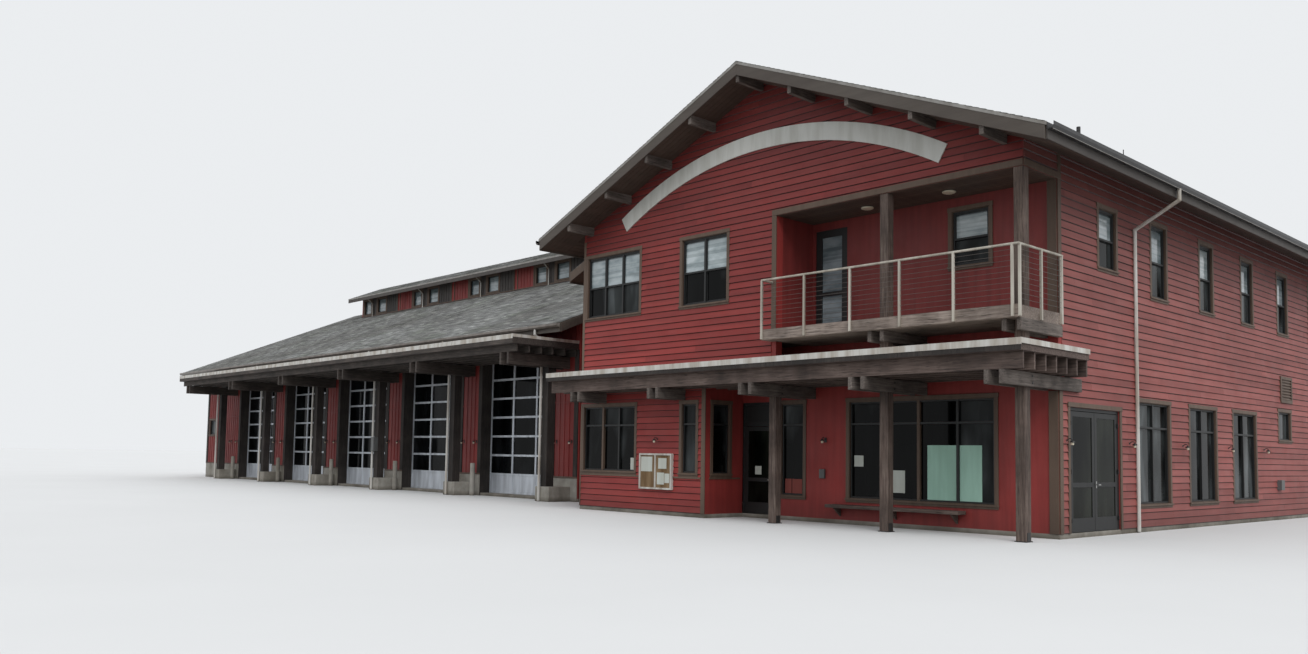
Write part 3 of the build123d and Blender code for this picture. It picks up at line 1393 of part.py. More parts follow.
def build_nodes():
    nodes = {
        "floor_slab": floor_slab(),
        "upper_floor": upper_floor(),
        "front_wall": front_wall(),
        "entry_side_wall": entry_side_wall(),
        "entry_wall_over_door": entry_wall_over_door(),
        "recess_wall": recess_wall(),
        "loggia_walls": loggia_walls(),
        "loggia_ceiling": loggia_ceiling(),
        "side_wall_front": side_wall_front(),
        "side_wall_over_door": side_wall_over_door(),
        "side_wall_rear": side_wall_rear(),
        "rear_wall": rear_wall(),
        "left_wall": left_wall(),
        "roof_left": roof_left(),
        "roof_right": roof_right(),
        "roof_fascia": roof_fascia(),
        "roof_outlookers": roof_outlookers(),
        "rainwater": apart(rainwater()),
        "timber_posts": timber_posts(),
        "canopy_roof": canopy_roof(),
        "canopy_joists": apart(front_joists() + wing_joists()),
        "timber_beams": apart(front_beams() + deck_beams() + wing_beams()),
        "balcony_deck": balcony_deck(),
        "balcony_rail": balcony_rail(),
        "window_frames": window_frames(),
        "window_glass": window_glass(),
        "trim_boards": trim_boards(),
        "door_frames": door_frames(),
        "entry_door": entry_door(),
        "entry_lever": entry_lever(),
        "side_door_left": side_door_left(),
        "side_door_right": side_door_right(),
        "side_lever": side_lever(),
        "sign_board": sign_board(),
        "notice_board": notice_board(),
        "window_shelf": window_shelf(),
        "wall_lamps": wall_lamps(),
        "side_louvre": side_louvre(),
        "wall_boxes": wall_boxes(),
        "roof_pipes": roof_pipes(),
        "wing_front_wall": wing_front_wall(),
        "wing_left_wall": wing_left_wall(),
        "wing_rear_wall": wing_rear_wall(),
        "link_wall": link_wall(),
        "wing_roof_left": wing_roof_left(),
        "wing_roof_right": wing_roof_right(),
        "wing_roof_front": wing_roof_front(),
        "wing_roof_back": wing_roof_back(),
        "monitor_walls": monitor_walls(),
        "monitor_roof": monitor_roof(),
        "bay_doors": bay_doors(),
        "bay_glass": bay_glass(),
        "wing_posts": wing_posts(),
        "concrete_bases": concrete_bases(),
        "wing_canopy": wing_canopy(),
        "bollards": bollards(),
    }
    return nodes


def write_parts():
    """Moves the model to its origin and writes one file for each node."""
    os.makedirs("parts", exist_ok=True)
    nodes = build_nodes()
    boxes = [shape.bounding_box() for shape in nodes.values()]
    x = (min(b.min.X for b in boxes) + max(b.max.X for b in boxes)) / 2
    y = (min(b.min.Y for b in boxes) + max(b.max.Y for b in boxes)) / 2
    for name, shape in nodes.items():
        export_step(Pos(-x, -y, 0) * shape, f"parts/{name}.step")
    print("moved by", -x, -y, "and", len(nodes), "nodes written")
    return x, y


if __name__ == "__main__":
    write_parts()
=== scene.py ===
import math
import random

import bmesh
import bpy
from mathutils import Matrix, Vector


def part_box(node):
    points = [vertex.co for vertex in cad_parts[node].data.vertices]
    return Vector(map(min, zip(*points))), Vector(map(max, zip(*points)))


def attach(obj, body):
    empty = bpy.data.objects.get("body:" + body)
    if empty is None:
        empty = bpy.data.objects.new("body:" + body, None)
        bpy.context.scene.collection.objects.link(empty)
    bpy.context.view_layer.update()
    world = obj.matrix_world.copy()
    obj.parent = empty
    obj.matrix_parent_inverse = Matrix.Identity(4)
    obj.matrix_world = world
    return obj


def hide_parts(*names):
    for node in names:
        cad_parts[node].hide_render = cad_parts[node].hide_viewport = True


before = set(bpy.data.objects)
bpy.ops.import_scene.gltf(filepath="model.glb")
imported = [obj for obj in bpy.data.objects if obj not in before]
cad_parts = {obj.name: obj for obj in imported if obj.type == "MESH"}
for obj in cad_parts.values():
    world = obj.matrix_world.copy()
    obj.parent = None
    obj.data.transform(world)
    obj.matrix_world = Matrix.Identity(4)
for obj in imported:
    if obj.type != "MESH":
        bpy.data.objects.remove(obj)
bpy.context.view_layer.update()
rng = random.Random(11)
BODY = "building"

# All sizes below are millimetres of the half-size model, from the building's front right corner:
# X = 0 is the right side wall, Y = 0 the gable front, Z = 0 the ground.
MM = 0.001
X, Y, Z = 0, 1, 2
CORNER = Vector((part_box("side_wall_rear")[1].x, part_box("front_wall")[0].y, 0.0))


def edge(node, axis, side):
    """Where a CAD node ends along an axis, in millimetres from the corner. side is 0 for low, 1 for high."""
    return (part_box(node)[side][axis] - CORNER[axis]) / MM


def ends(node, axis):
    return (edge(node, axis, 0), edge(node, axis, 1))


MAIN_W = -edge("front_wall", X, 0)
DEPTH = edge("rear_wall", Y, 1)
MID = -MAIN_W / 2
BASE = edge("floor_slab", Z, 1)
RECESS = edge("recess_wall", Y, 0)
ENTRY_X = edge("entry_side_wall", X, 1)
LOGGIA_X = edge("loggia_ceiling", X, 0) + 100.0
LOGGIA_TOP = edge("loggia_ceiling", Z, 0)
FLOOR_2 = edge("upper_floor", Z, 1)
PITCH = 5.0 / 12.0
SLOPE = math.sqrt(1 + PITCH * PITCH)
EAVE_OUT = edge("roof_right", X, 1)
EAVE_Z, RIDGE_Z = ends("roof_right", Z)
ROOF_T = 125.0
ROOF_Y0, ROOF_Y1 = ends("roof_right", Y)
CATSLIDE_X = edge("roof_left", X, 0)
CATSLIDE_Y = (557.0, 1900.0)
WING_X0, WING_X1 = ends("wing_front_wall", X)
WING_Y = edge("wing_front_wall", Y, 0)
WING_MID = (WING_Y + DEPTH) / 2
WING_ROOF_X0 = edge("wing_roof_left", X, 0)
WING_EAVE_Y = edge("wing_roof_front", Y, 0)
WING_ROOF_T = 110.0
WING_EAVE_TOP = edge("wing_roof_front", Z, 0) + WING_ROOF_T
LINK_Y = 1600.0
LOW_X1 = -7480.0
BAY = 2547.0
BAYS = 5
PIER_X = -7985.0
PIER_W = 652.0
MON_X0, MON_X1 = ends("monitor_walls", X)
MON_Y = edge("monitor_walls", Y, 0)
MON_ROOF_X = ends("monitor_roof", X)
MON_ROOF_Y = edge("monitor_roof", Y, 0)
MON_TOP = edge("monitor_roof", Z, 1)
POST = 96.0
POST_PITCH = 1410.0
CAN_X = ends("canopy_roof", X)
CAN_Y = ends("canopy_roof", Y)
CAN_LOW, CAN_TOP = ends("canopy_roof", Z)
WING_CAN_X = ends("wing_canopy", X)
WING_CAN_Y = edge("wing_canopy", Y, 0)
WING_CAN_LOW, WING_CAN_TOP = ends("wing_canopy", Z)
BAY_DOOR_H = 2200.0


def main_under(x):
    """Underside of the main roof."""
    return EAVE_Z + PITCH * (MAIN_W / 2 + EAVE_OUT - abs(x - MID))


def main_top(x):
    return main_under(x) + ROOF_T


def wing_top(y):
    """Top of the wing roof."""
    return WING_EAVE_TOP + PITCH * (WING_MID - WING_EAVE_Y - abs(y - WING_MID))


def pier_x(i):
    return PIER_X - i * BAY


def bay_mid(i):
    return PIER_X - (i + 0.5) * BAY


# Materials

def tint(r, g, b):
    """A colour given as on a screen, from 0 to 255, as Blender's linear numbers."""
    parts = []
    for v in (r, g, b):
        c = v / 255.0
        parts.append(c / 12.92 if c <= 0.04045 else ((c + 0.055) / 1.055) ** 2.4)
    return (*parts, 1.0)


class Shader:
    """A few short calls for building a node material."""

    def __init__(self, name, roughness=0.6, metallic=0.0):
        self.material = bpy.data.materials.new(name)
        self.material.use_nodes = True
        self.tree = self.material.node_tree
        self.bsdf = self.tree.nodes["Principled BSDF"]
        self.bsdf.inputs["Roughness"].default_value = roughness
        self.bsdf.inputs["Metallic"].default_value = metallic
        self.coords = self.tree.nodes.new("ShaderNodeTexCoord").outputs["Object"]

    def link(self, a, b):
        self.tree.links.new(a, b)

    def scaled(self, scale):
        node = self.tree.nodes.new("ShaderNodeMapping")
        node.inputs["Scale"].default_value = scale
        self.link(self.coords, node.inputs["Vector"])
        return node.outputs["Vector"]

    def noise(self, scale, stretch=(1, 1, 1), detail=4.0, rough=0.55):
        node = self.tree.nodes.new("ShaderNodeTexNoise")
        node.inputs["Scale"].default_value = scale
        node.inputs["Detail"].default_value = detail
        node.inputs["Roughness"].default_value = rough
        self.link(self.scaled(stretch), node.inputs["Vector"])
        return node.outputs["Fac"]

    def tone(self):
        """The shade that each little solid of a mesh has of its own."""
        node = self.tree.nodes.new("ShaderNodeAttribute")
        node.attribute_name = "tone"
        return node.outputs["Fac"]

    def height(self, span=1.0):
        """Height above the ground, as a number from 0 to 1 over a span in metres."""
        node = self.tree.nodes.new("ShaderNodeSeparateXYZ")
        self.link(self.scaled((1, 1, 1 / span)), node.inputs["Vector"])
        return node.outputs["Z"]

    def ramp(self, value, *stops):
        node = self.tree.nodes.new("ShaderNodeValToRGB")
        ramp = node.color_ramp
        while len(ramp.elements) < len(stops):
            ramp.elements.new(0.5)
        for element, (position, colour) in zip(ramp.elements, stops):
            element.position = position
            element.color = colour
        self.link(value, node.inputs["Fac"])
        return node.outputs["Color"]

    def mix(self, a, b, share, mode="MIX"):
        node = self.tree.nodes.new("ShaderNodeMix")
        node.data_type = "RGBA"
        node.blend_type = mode
        for socket, value in ((node.inputs[6], a), (node.inputs[7], b), (node.inputs[0], share)):
            if isinstance(value, (tuple, float)):
                socket.default_value = value
            else:
                self.link(value, socket)
        return node.outputs[2]

    def stain(self, colour, over, share):
        """Darkens a colour by a stain at a given strength."""
        return self.mix(colour, over, share, "MULTIPLY")

    def colour(self, value):
        self.link(value, self.bsdf.inputs["Base Color"])

    def bump(self, value, strength, distance):
        node = self.tree.nodes.new("ShaderNodeBump")
        node.inputs["Strength"].default_value = strength
        node.inputs["Distance"].default_value = distance
        self.link(value, node.inputs["Height"])
        self.link(node.outputs["Normal"], self.bsdf.inputs["Normal"])

    def roughness(self, value, low, high):
        node = self.tree.nodes.new("ShaderNodeMapRange")
        node.inputs["To Min"].default_value = low
        node.inputs["To Max"].default_value = high
        self.link(value, node.inputs["Value"])
        self.link(node.outputs["Result"], self.bsdf.inputs["Roughness"])


WHITE = (1.0, 1.0, 1.0, 1.0)
TOP_TINT = tint(214, 226, 228)  # the paint made darker and greyer towards the top of the walls
LENGTHWAYS = {"x": (0.06, 1, 1), "y": (1, 0.06, 1), "z": (1, 1, 0.06)}
# the share of the dark colour that the painted shadow under a board's edge keeps
SHADOW = 0.16


def painted_boards(name, shades, grain="x", high=WHITE, toned=True):
    """Painted wood: board-to-board shade, soft fading, fine grain, grime along the grain, darker and greyer
    towards the top, and darker towards the bottom.
    shades are the base, dark and pale colours. Tone 0 is a painted shadow under a board's edge.
    toned is off for the CAD's own meshes, which have no tone."""
    s = Shader(name, 0.62)
    base, dark, pale = (tint(*shade) for shade in shades)
    shadow = (dark[0] * SHADOW, dark[1] * SHADOW, dark[2] * SHADOW, 1.0)
    shade = s.tone() if toned else s.noise(2.0)
    body = s.ramp(shade, (0.0, shadow), (0.1, dark), (0.5, base), (1.0, pale))
    # darker and greyer towards the top of a wall
    body = s.stain(body, s.ramp(s.height(4.5), (0.35, WHITE), (0.85, high)), 1.0)
    fade = s.ramp(s.noise(0.9, detail=3.0), (0.35, tint(214, 206, 204)), (0.7, WHITE))
    grime = s.ramp(s.noise(16.0, LENGTHWAYS[grain], 6.0), (0.30, tint(196, 188, 186)), (0.62, WHITE))
    # darker towards the bottom of a wall
    low = s.ramp(s.height(), (0.0, tint(160, 150, 142)), (0.35, WHITE))
    s.colour(s.stain(s.stain(s.stain(body, fade, 0.6), grime, 0.55), low, 0.6))
    s.bump(s.noise(90.0, LENGTHWAYS[grain], 6.0), 0.35, 0.002)
    s.roughness(s.noise(5.0), 0.5, 0.75)
    return s.material


def weathered_timber(name, shades, grain):
    """Old timber: long grain, checks and stains."""
    s = Shader(name, 0.8)
    base, dark, pale = (tint(*shade) for shade in shades)
    streaks = s.noise(55.0, LENGTHWAYS[grain], 8.0, 0.65)
    body = s.ramp(streaks, (0.25, dark), (0.48, base), (0.75, pale))
    stain = s.ramp(s.noise(2.6, detail=5.0), (0.3, tint(120, 112, 108)), (0.62, WHITE))
    checks = s.ramp(s.noise(130.0, LENGTHWAYS[grain], 3.0, 0.4), (0.30, tint(60, 52, 46)), (0.40, WHITE))
    s.colour(s.stain(s.stain(body, stain, 0.75), checks, 0.7))
    s.bump(streaks, 0.5, 0.003)
    s.roughness(streaks, 0.7, 0.92)
    return s.material


def metal_paint(name, base, stain, amount, roughness=0.42, metallic=0.0):
    """Painted or galvanised metal with faint streaks."""
    s = Shader(name, roughness, metallic)
    streaks = s.ramp(s.noise(9.0, (1, 1, 0.15), 6.0), (0.38, tint(*stain)), (0.6, WHITE))
    s.colour(s.stain(tint(*base), streaks, amount))
    s.bump(s.noise(60.0), 0.06, 0.001)
    return s.material


def shingle_material():
    """Roof shingles: a shade for each tab, mineral grains, dark patches and moss."""
    s = Shader("roof_shingles", 0.93)
    body = s.ramp(s.tone(), (0.0, tint(102, 102, 101)), (0.5, tint(145, 146, 144)),
                  (1.0, tint(194, 195, 191)))
    grains = s.ramp(s.noise(420.0, detail=2.0), (0.3, tint(168, 168, 166)), (0.7, WHITE))
    patch = s.ramp(s.noise(0.55, detail=4.0), (0.35, tint(188, 184, 180)), (0.65, WHITE))
    moss = s.ramp(s.noise(1.7, detail=7.0), (0.5, WHITE), (0.72, tint(190, 200, 178)))
    s.colour(s.stain(s.stain(s.stain(body, grains, 0.8), patch, 0.8), moss, 0.7))
    s.bump(s.noise(300.0, detail=3.0), 0.5, 0.002)
    return s.material


def concrete_material():
    s = Shader("concrete", 0.88)
    body = s.ramp(s.noise(6.0, detail=8.0, rough=0.6), (0.3, tint(146, 142, 134)), (0.7, tint(184, 180, 171)))
    stain = s.ramp(s.noise(1.4, (1, 1, 0.3), 5.0), (0.35, tint(176, 170, 160)), (0.6, WHITE))
    low = s.ramp(s.height(), (0.0, tint(150, 142, 130)), (0.08, WHITE))
    s.colour(s.stain(s.stain(body, stain, 0.8), low, 0.8))
    s.bump(s.noise(120.0, detail=4.0), 0.3, 0.002)
    return s.material


def glass_material(name, dark, pale, gloss):
    """Window glass painted with the shade of the dark room behind it: soft patches and upright streaks as a
    painted reflection of a street.
    """
    s = Shader(name, 0.07)
    patches = s.ramp(s.noise(1.3, (1, 1, 0.5), 3.0), (0.42, tint(*dark)), (0.62, tint(*pale)))
    streaks = s.ramp(s.noise(5.0, (1, 1, 0.22), 3.0), (0.42, tint(150, 152, 150)), (0.58, WHITE))
    s.colour(s.stain(patches, streaks, 0.8))
    s.bsdf.inputs["Specular IOR Level"].default_value = gloss
    return s.material


def sky_pane_material():
    """Panes with a painted reflection of the sky and a blind behind: faint slats of the blind, cloudy patches
    of painted reflection, and at low tones the painted shadow under a window's head.
    """
    s = Shader("sky_panes", 0.12)
    body = s.ramp(s.tone(), (0.0, tint(44, 50, 54)), (0.2, tint(128, 142, 148)), (1.0, tint(206, 216, 218)))
    cloud = s.ramp(s.noise(3.0, (1, 1, 2.5), 3.0), (0.35, tint(176, 186, 188)), (0.62, WHITE))
    slats = s.ramp(s.noise(26.0, (0.02, 0.02, 1), 1.0), (0.42, tint(206, 210, 210)), (0.55, WHITE))
    s.colour(s.stain(s.stain(body, cloud, 0.9), slats, 0.8))
    s.bsdf.inputs["Coat Weight"].default_value = 0.6
    return s.material


RED = ((158, 54, 50), (140, 46, 43), (170, 66, 60))
FADED_RED = ((156, 84, 78), (140, 73, 68), (170, 98, 92))  # the long right wall
# The red darkened by a tenth, as painted shade for the wing's front under its canopy; the wing's other walls
# and the monitor's red panels share it.
SHADED_RED = [[v * 0.9 for v in shade] for shade in RED]

# Painted boards: name, base, dark and pale shade, grain
PAINTED = {
    "batten": ("red_battens", *SHADED_RED, "z"),
    "trim": ("taupe_trim", (102, 84, 70), (88, 72, 60), (118, 100, 84), "z"),
    "fascia": ("taupe_fascia", (94, 86, 78), (82, 75, 68), (107, 98, 89), "x"),
    # the fascia's paint made darker: painted shade for the boards along the right eave and round the monitor
    "dark_fascia": ("dark_fascia", (70, 65, 61), (58, 53, 50), (82, 77, 72), "y"),
    "dark_panel": ("dark_panels", (58, 52, 48), (48, 43, 40), (68, 62, 57), "z"),
    "soffit": ("soffit_boards", (78, 64, 54), (60, 48, 41), (94, 80, 69), "y"),
}

# The same for the CAD's own meshes
PAINTED_PLAIN = {
    "panel": ("red_panels", (160, 56, 52), (146, 48, 45), (168, 62, 57), "z"),
    # the red panels darkened by a fifth: painted shade for the walls of the recessed loggia
    "loggia": ("red_loggia_painted_shade", (128, 45, 42), (117, 38, 36), (136, 50, 46), "z"),
    "roof_deck": ("roof_deck_boards", (92, 76, 63), (78, 64, 53), (104, 88, 74), "y"),
}

TIMBER = {
    "post": ("timber_upright", (100, 84, 76), (56, 44, 39), (136, 122, 112), "z"),
    "beam": ("timber_along_y", (106, 97, 91), (60, 52, 47), (144, 135, 127), "y"),
    "wing_beam": ("timber_dark_along_y", (72, 64, 59), (38, 33, 30), (104, 95, 88), "y"),
    "joist": ("timber_along_x", (104, 88, 81), (60, 49, 44), (138, 122, 113), "x"),
    "deck": ("timber_deck", (146, 132, 122), (96, 84, 77), (178, 166, 156), "x"),
    "dark_beam": ("timber_dark_lying", (72, 64, 59), (38, 33, 30), (104, 95, 88), "x"),
    "dark_post": ("timber_dark_upright", (52, 46, 43), (28, 25, 23), (74, 67, 62), "z"),
}

# Metal, paper and the like: name, colour, stain and its strength, then roughness and metal share if not usual
METAL = {
    "drip": ("drip_edge", (150, 147, 142), (170, 160, 150), 0.5),
    "white_metal": ("white_metal", (208, 206, 200), (168, 146, 120), 0.6),
    "dark_metal": ("dark_metal", (36, 35, 34), (150, 140, 130), 0.4),
    "box_metal": ("grey_box", (104, 106, 106), (170, 164, 156), 0.5, 0.5),
    "gutter_metal": ("bronze_gutter", (40, 39, 40), (150, 140, 130), 0.5),
    "wing_gutter": ("taupe_gutter", (132, 124, 117), (160, 150, 140), 0.5),
    "rail_metal": ("galvanised_rail", (196, 190, 178), (150, 140, 128), 0.5, 0.4, 0.3),
    "cable": ("rail_cable", (104, 98, 94), (150, 146, 140), 0.4, 0.45, 0.4),
    "steel": ("bare_steel", (170, 170, 168), (170, 165, 160), 0.4, 0.28, 1.0),
    "door_metal": ("bay_door_aluminium", (208, 213, 220), (170, 170, 172), 0.5, 0.4, 0.25),
    "sash": ("black_sash", (22, 23, 23), (150, 150, 150), 0.3, 0.55),
    "lamp_glass": ("lamp_glass", (236, 228, 206), (220, 214, 196), 0.4, 0.3),
    "paper": ("blank_paper", (206, 210, 202), (224, 222, 214), 0.5, 0.85),
    "green_sheet": ("green_sheet", (176, 216, 198), (214, 222, 216), 0.5, 0.8),
    "red_sheet": ("red_brown_sheet", (138, 70, 62), (214, 200, 196), 0.5, 0.8),
    "cork": ("cork", (142, 118, 88), (170, 150, 120), 0.9, 0.9),
    "sign": ("sign_face", (208, 208, 202), (214, 212, 206), 0.5, 0.55),
}

# Glass: name, dark and pale patches of painted shade and painted reflection, gloss
GLASS = {
    "glass": ("window_glass", (13, 14, 14), (86, 91, 92), 0.1),
    "door_glass": ("bay_glass", (7, 8, 9), (30, 32, 34), 0.06),
    "pane_dark": ("door_panes", (12, 14, 12), (40, 43, 36), 0.06),
}


def make_materials():
    found = {
        "lap_front": painted_boards("red_lap_boards_front", RED, "x", TOP_TINT),
        "lap_side": painted_boards("red_lap_boards_side", FADED_RED, "y", TOP_TINT),
        "shingle": shingle_material(),
        "concrete": concrete_material(),
        "sky": sky_pane_material(),
    }
    for finish, (name, *shades, grain) in PAINTED.items():
        found[finish] = painted_boards(name, shades, grain)
    for finish, (name, *shades, grain) in PAINTED_PLAIN.items():
        found[finish] = painted_boards(name, shades, grain, toned=False)
    for finish, (name, *shades, grain) in TIMBER.items():
        found[finish] = weathered_timber(name, shades, grain)
    for finish, values in METAL.items():
        found[finish] = metal_paint(*values)
    for finish, values in GLASS.items():
        found[finish] = glass_material(*values)
    return found


MATERIALS = make_materials()


# Mesh building

EVEN = 0.5  # the tone of pieces that keep one shade


class Pile:
    """Closed little solids that become one mesh. Each has its own shade, drawn unless the pile has a tone."""

    def __init__(self, tone=None):
        self.points = []
        self.faces = []
        self.tones = []
        self.tone = tone

    def solid(self, low, high, tone=None):
        """A solid between two outlines with as many corners, such as the ends of a board."""
        start = len(self.points)
        count = len(low)
        self.points += [*low, *high]
        sides = [(i, (i + 1) % count, count + (i + 1) % count, count + i) for i in range(count)]
        faces = [tuple(range(count))[::-1], tuple(range(count, 2 * count)), *sides]
        shade = self.tone if tone is None else tone
        if shade is None:
            shade = rng.uniform(0.25, 0.75)
        for face in faces:
            self.faces.append([start + i for i in face])
            self.tones.append(shade)

    def block(self, x0, x1, y0, y1, z0, z1, tone=None):
        ring = [(x0, y0), (x1, y0), (x1, y1), (x0, y1)]
        self.solid([(x, y, z0) for x, y in ring], [(x, y, z1) for x, y in ring], tone)

    def along_y(self, ring, y0, y1):
        """A solid from y0 to y1 with one outline, given as (x, z)."""
        self.solid([(x, y0, z) for x, z in ring], [(x, y1, z) for x, z in ring])

    def build(self, name, finish, body=BODY, bevel=0.0, slot=None):
        mesh = bpy.data.meshes.new(name)
        points = [(CORNER.x + x * MM, CORNER.y + y * MM, z * MM) for x, y, z in self.points]
        mesh.from_pydata(points, [], self.faces)
        shade = mesh.attributes.new("tone", "FLOAT", "FACE")
        shade.data.foreach_set("value", self.tones)
        work = bmesh.new()
        work.from_mesh(mesh)
        bmesh.ops.recalc_face_normals(work, faces=work.faces)
        work.to_mesh(mesh)
        work.free()
        return finish_piece(name, mesh, finish, body, bevel)


def finish_piece(name, mesh, finish, body, bevel):
    """Makes the object, bevels its edges, gives it its finish and ties it to its body."""
    piece = bpy.data.objects.new(name, mesh)
    bpy.context.scene.collection.objects.link(piece)
    piece.data.materials.clear()
    piece.data.materials.append(MATERIALS[finish])
    if bevel:
        modifier = piece.modifiers.new("bevel", "BEVEL")
        modifier.width = bevel * MM
        modifier.segments = 1
        modifier.limit_method = "ANGLE"
        modifier.angle_limit = math.radians(30)
        with bpy.context.temp_override(object=piece, active_object=piece):
            bpy.ops.object.modifier_apply(modifier="bevel")
    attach(piece, body)
    return piece


def dress(node, name, finish, bevel, body=BODY, keep=None):
    """The CAD node's own shape with eased edges. keep picks some of its solids by their centre."""
    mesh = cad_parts[node].data.copy()
    work = bmesh.new()
    work.from_mesh(mesh)
    bmesh.ops.remove_doubles(work, verts=work.verts, dist=1e-5)
    if keep is not None:
        drop_islands(work, keep)
    bmesh.ops.dissolve_limit(work, angle_limit=math.radians(1.0), verts=work.verts, edges=work.edges)
    layer = work.faces.layers.float.new("tone")
    for island in islands(work):
        shade = rng.uniform(0.2, 0.8)
        for vert in island:
            for face in vert.link_faces:
                face[layer] = shade
    work.to_mesh(mesh)
    work.free()
    for polygon in mesh.polygons:
        polygon.use_smooth = False
    piece = finish_piece(name, mesh, finish, body, bevel)
    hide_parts(node)


def islands(work):
    """The loose parts of a mesh, as lists of vertices."""
    seen = set()
    found = []
    for start in work.verts:
        if start.index in seen:
            continue
        stack = [start]
        seen.add(start.index)
        part = []
        while stack:
            vert = stack.pop()
            part.append(vert)
            for link in vert.link_edges:
                other = link.other_vert(vert)
                if other.index not in seen:
                    seen.add(other.index)
                    stack.append(other)
        found.append(part)
    return found


def drop_islands(work, keep):
    work.verts.index_update()
    gone = []
    for part in islands(work):
        centre = sum((v.co for v in part), Vector()) / len(part)
        if not keep((centre - CORNER) / MM):
            gone += part
    bmesh.ops.delete(work, geom=gone, context="VERTS")
    work.verts.index_update()


class Face:
    """A wall face. along is the axis it runs along, at where it lies, out the way it looks."""

    def __init__(self, along, at, out):
        self.along = along
        self.at = at
        self.out = out

    def point(self, a, stand, z):
        """A point at a along the wall, standing off its face, at height z."""
        d = self.at + self.out * stand
        return (a, d, z) if self.along == "x" else (d, a, z)

    def block(self, pile, a0, a1, stand0, stand1, z0, z1, tone=None):
        ring = [(a0, z0), (a1, z0), (a1, z1), (a0, z1)]
        low = [self.point(a, stand0, z) for a, z in ring]
        high = [self.point(a, stand1, z) for a, z in ring]
        pile.solid(low, high, tone)


FRONT = Face("x", 0.0, -1)
RECESSED = Face("x", RECESS, -1)
ENTRY_SIDE = Face("y", ENTRY_X, 1)
RIGHT = Face("y", 0.0, 1)
LEFT = Face("y", -MAIN_W, -1)
REAR = Face("x", DEPTH, 1)
WING_FRONT = Face("x", WING_Y, -1)
WING_LEFT = Face("y", WING_X0, -1)
LINK = Face("x", LINK_Y, -1)
CLERESTORY = Face("x", MON_Y, -1)

# Windows: (from, to, sill, head, kind, columns). A hung window slides, a shop window has a transom
# and a small one is a single pane. columns are the shares of the width at which uprights stand.
HUNG, SHOP, SMALL = "hung", "shop", "small"
UPPER = (2451.0, 3230.0, HUNG)
SHOP_SILL, SHOP_HEAD = 501.0, 1304.0
STREET = (SHOP_SILL, SHOP_HEAD, SHOP)
TALL = (279.0, SHOP_HEAD, SHOP)
SIDE_LOW = (279.0, 1325.0, SHOP)
SIDE_SMALL = (1035.0, 1405.0, SMALL)
PLAIN = (1050.0, 1650.0, SMALL)
CLEAR = (4330.0, 4690.0, SMALL)
CLEAR_PANES = ((-445.0, -90.0), (270.0, 690.0))  # from and to, beside a pier's middle
TRANSOM = 1068.0
SIDE_Y0, SIDE_PITCH = 2927.0, 1360.0
SIDE_LOW_BACK = 172.0  # the low side windows stand this far in front of the upper ones
REAR_OUT = 1850.0
CASING = 42.0
CASING_T = 12.0
REVEAL = 6.0
SASH_W = 16.0
HEM = 22  # from an opening's edge to the pane that shows
# Off the wall's face, from and to
REVEAL_STANDS = (-14, 4)
FRAME_STANDS = (-66, -14)
TRANSOM_STANDS = (-60, -13)
PANE_STANDS = (-37, -35)


def window(a0, a1, size, columns=()):
    sill, head, kind = size
    return (a0, a1, sill, head, kind, columns)


def centred(middles, half, size, columns=()):
    """Windows of one size round the middles given."""
    return [window(a - half, a + half, size, columns) for a in middles]


def window_list():
    side = [SIDE_Y0 + i * SIDE_PITCH for i in range(5)]
    rear = (MID - REAR_OUT, MID, MID + REAR_OUT)
    piers = [pier_x(i) for i in range(BAYS + 1)]
    return [
        (FRONT, [
            window(-6012.0, -5020.0, UPPER, (1 / 3, 2 / 3)),
            window(-4271.0, -3556.0, UPPER, (0.5,)),
            window(-6035.0, -5060.0, STREET, (0.37, 0.68)),
            window(-4240.0, -4010.0, STREET),
        ]),
        (ENTRY_SIDE, [window(115.0, 390.0, STREET)]),
        (RECESSED, [
            window(-3265.0, -2948.0, TALL),
            window(-2321.0, -636.0, TALL, (0.26, 0.5, 0.76)),
            window(-1082.0, -682.0, (2614.0, 3166.0, HUNG)),
        ]),
        (RIGHT, [window(1476.0, 1862.0, (2600.0, 3190.0, HUNG)), *centred(side, 194.0, UPPER),
                 *centred([y - SIDE_LOW_BACK for y in side[:3]], 392.5, SIDE_LOW, (0.5,)),
                 *centred(side[3:], 240.0, SIDE_SMALL)]),
        (REAR, [*centred(rear, 357.0, (*UPPER[:2], SMALL)), *centred(rear, 357.0, (*STREET[:2], SMALL)),
                *centred([bay_mid(i) for i in (0, 2, 4)], 380.0, PLAIN)]),
        (WING_FRONT, [window(-22340.0, -21960.0, (1050.0, 1410.0, SMALL))]),
        (WING_LEFT, centred((WING_MID - 2025.0, WING_MID + 2025.0), 380.0, PLAIN)),
        (CLERESTORY, [window(x + left, x + right, CLEAR) for x in piers for left, right in CLEAR_PANES]),
    ]


def cross_height(z0, z1, kind):
    """Height of the meeting rail or transom, or None."""
    if kind == HUNG:
        return z0 + 0.49 * (z1 - z0)
    return TRANSOM if kind == SHOP else None


def build_windows():
    """Casings and sills in taupe, sashes in black, and upper panes with a painted reflection of the sky."""
    casing, sash, panes = Pile(EVEN), Pile(EVEN), Pile()
    for face, windows in window_list():
        for a0, a1, z0, z1, kind, columns in windows:
            window_casing(casing, face, a0, a1, z0, z1)
            uprights = [a0 + share * (a1 - a0) for share in columns]
            cross = cross_height(z0, z1, kind)
            window_sash(sash, casing, face, (a0, a1, z0, z1), kind, uprights, cross)
            if kind == HUNG:
                sky_panes(panes, face, [a0 + REVEAL, *uprights, a1 - REVEAL], cross + 8, z1 - HEM)
            # The clerestory's panes carry a dimmer painted reflection of the sky.
            if face is CLERESTORY:
                face.block(panes, a0 + HEM, a1 - HEM, *PANE_STANDS, z0 + HEM, z1 - HEM, rng.uniform(0.3, 0.6))
    trim = casing.build("window_casings", "trim", bevel=1.5)
    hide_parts("window_frames")
    sash.build("window_sashes", "sash", bevel=1.0)
    panes.build("upper_panes", "sky")
    paint("window_glass", "glass")


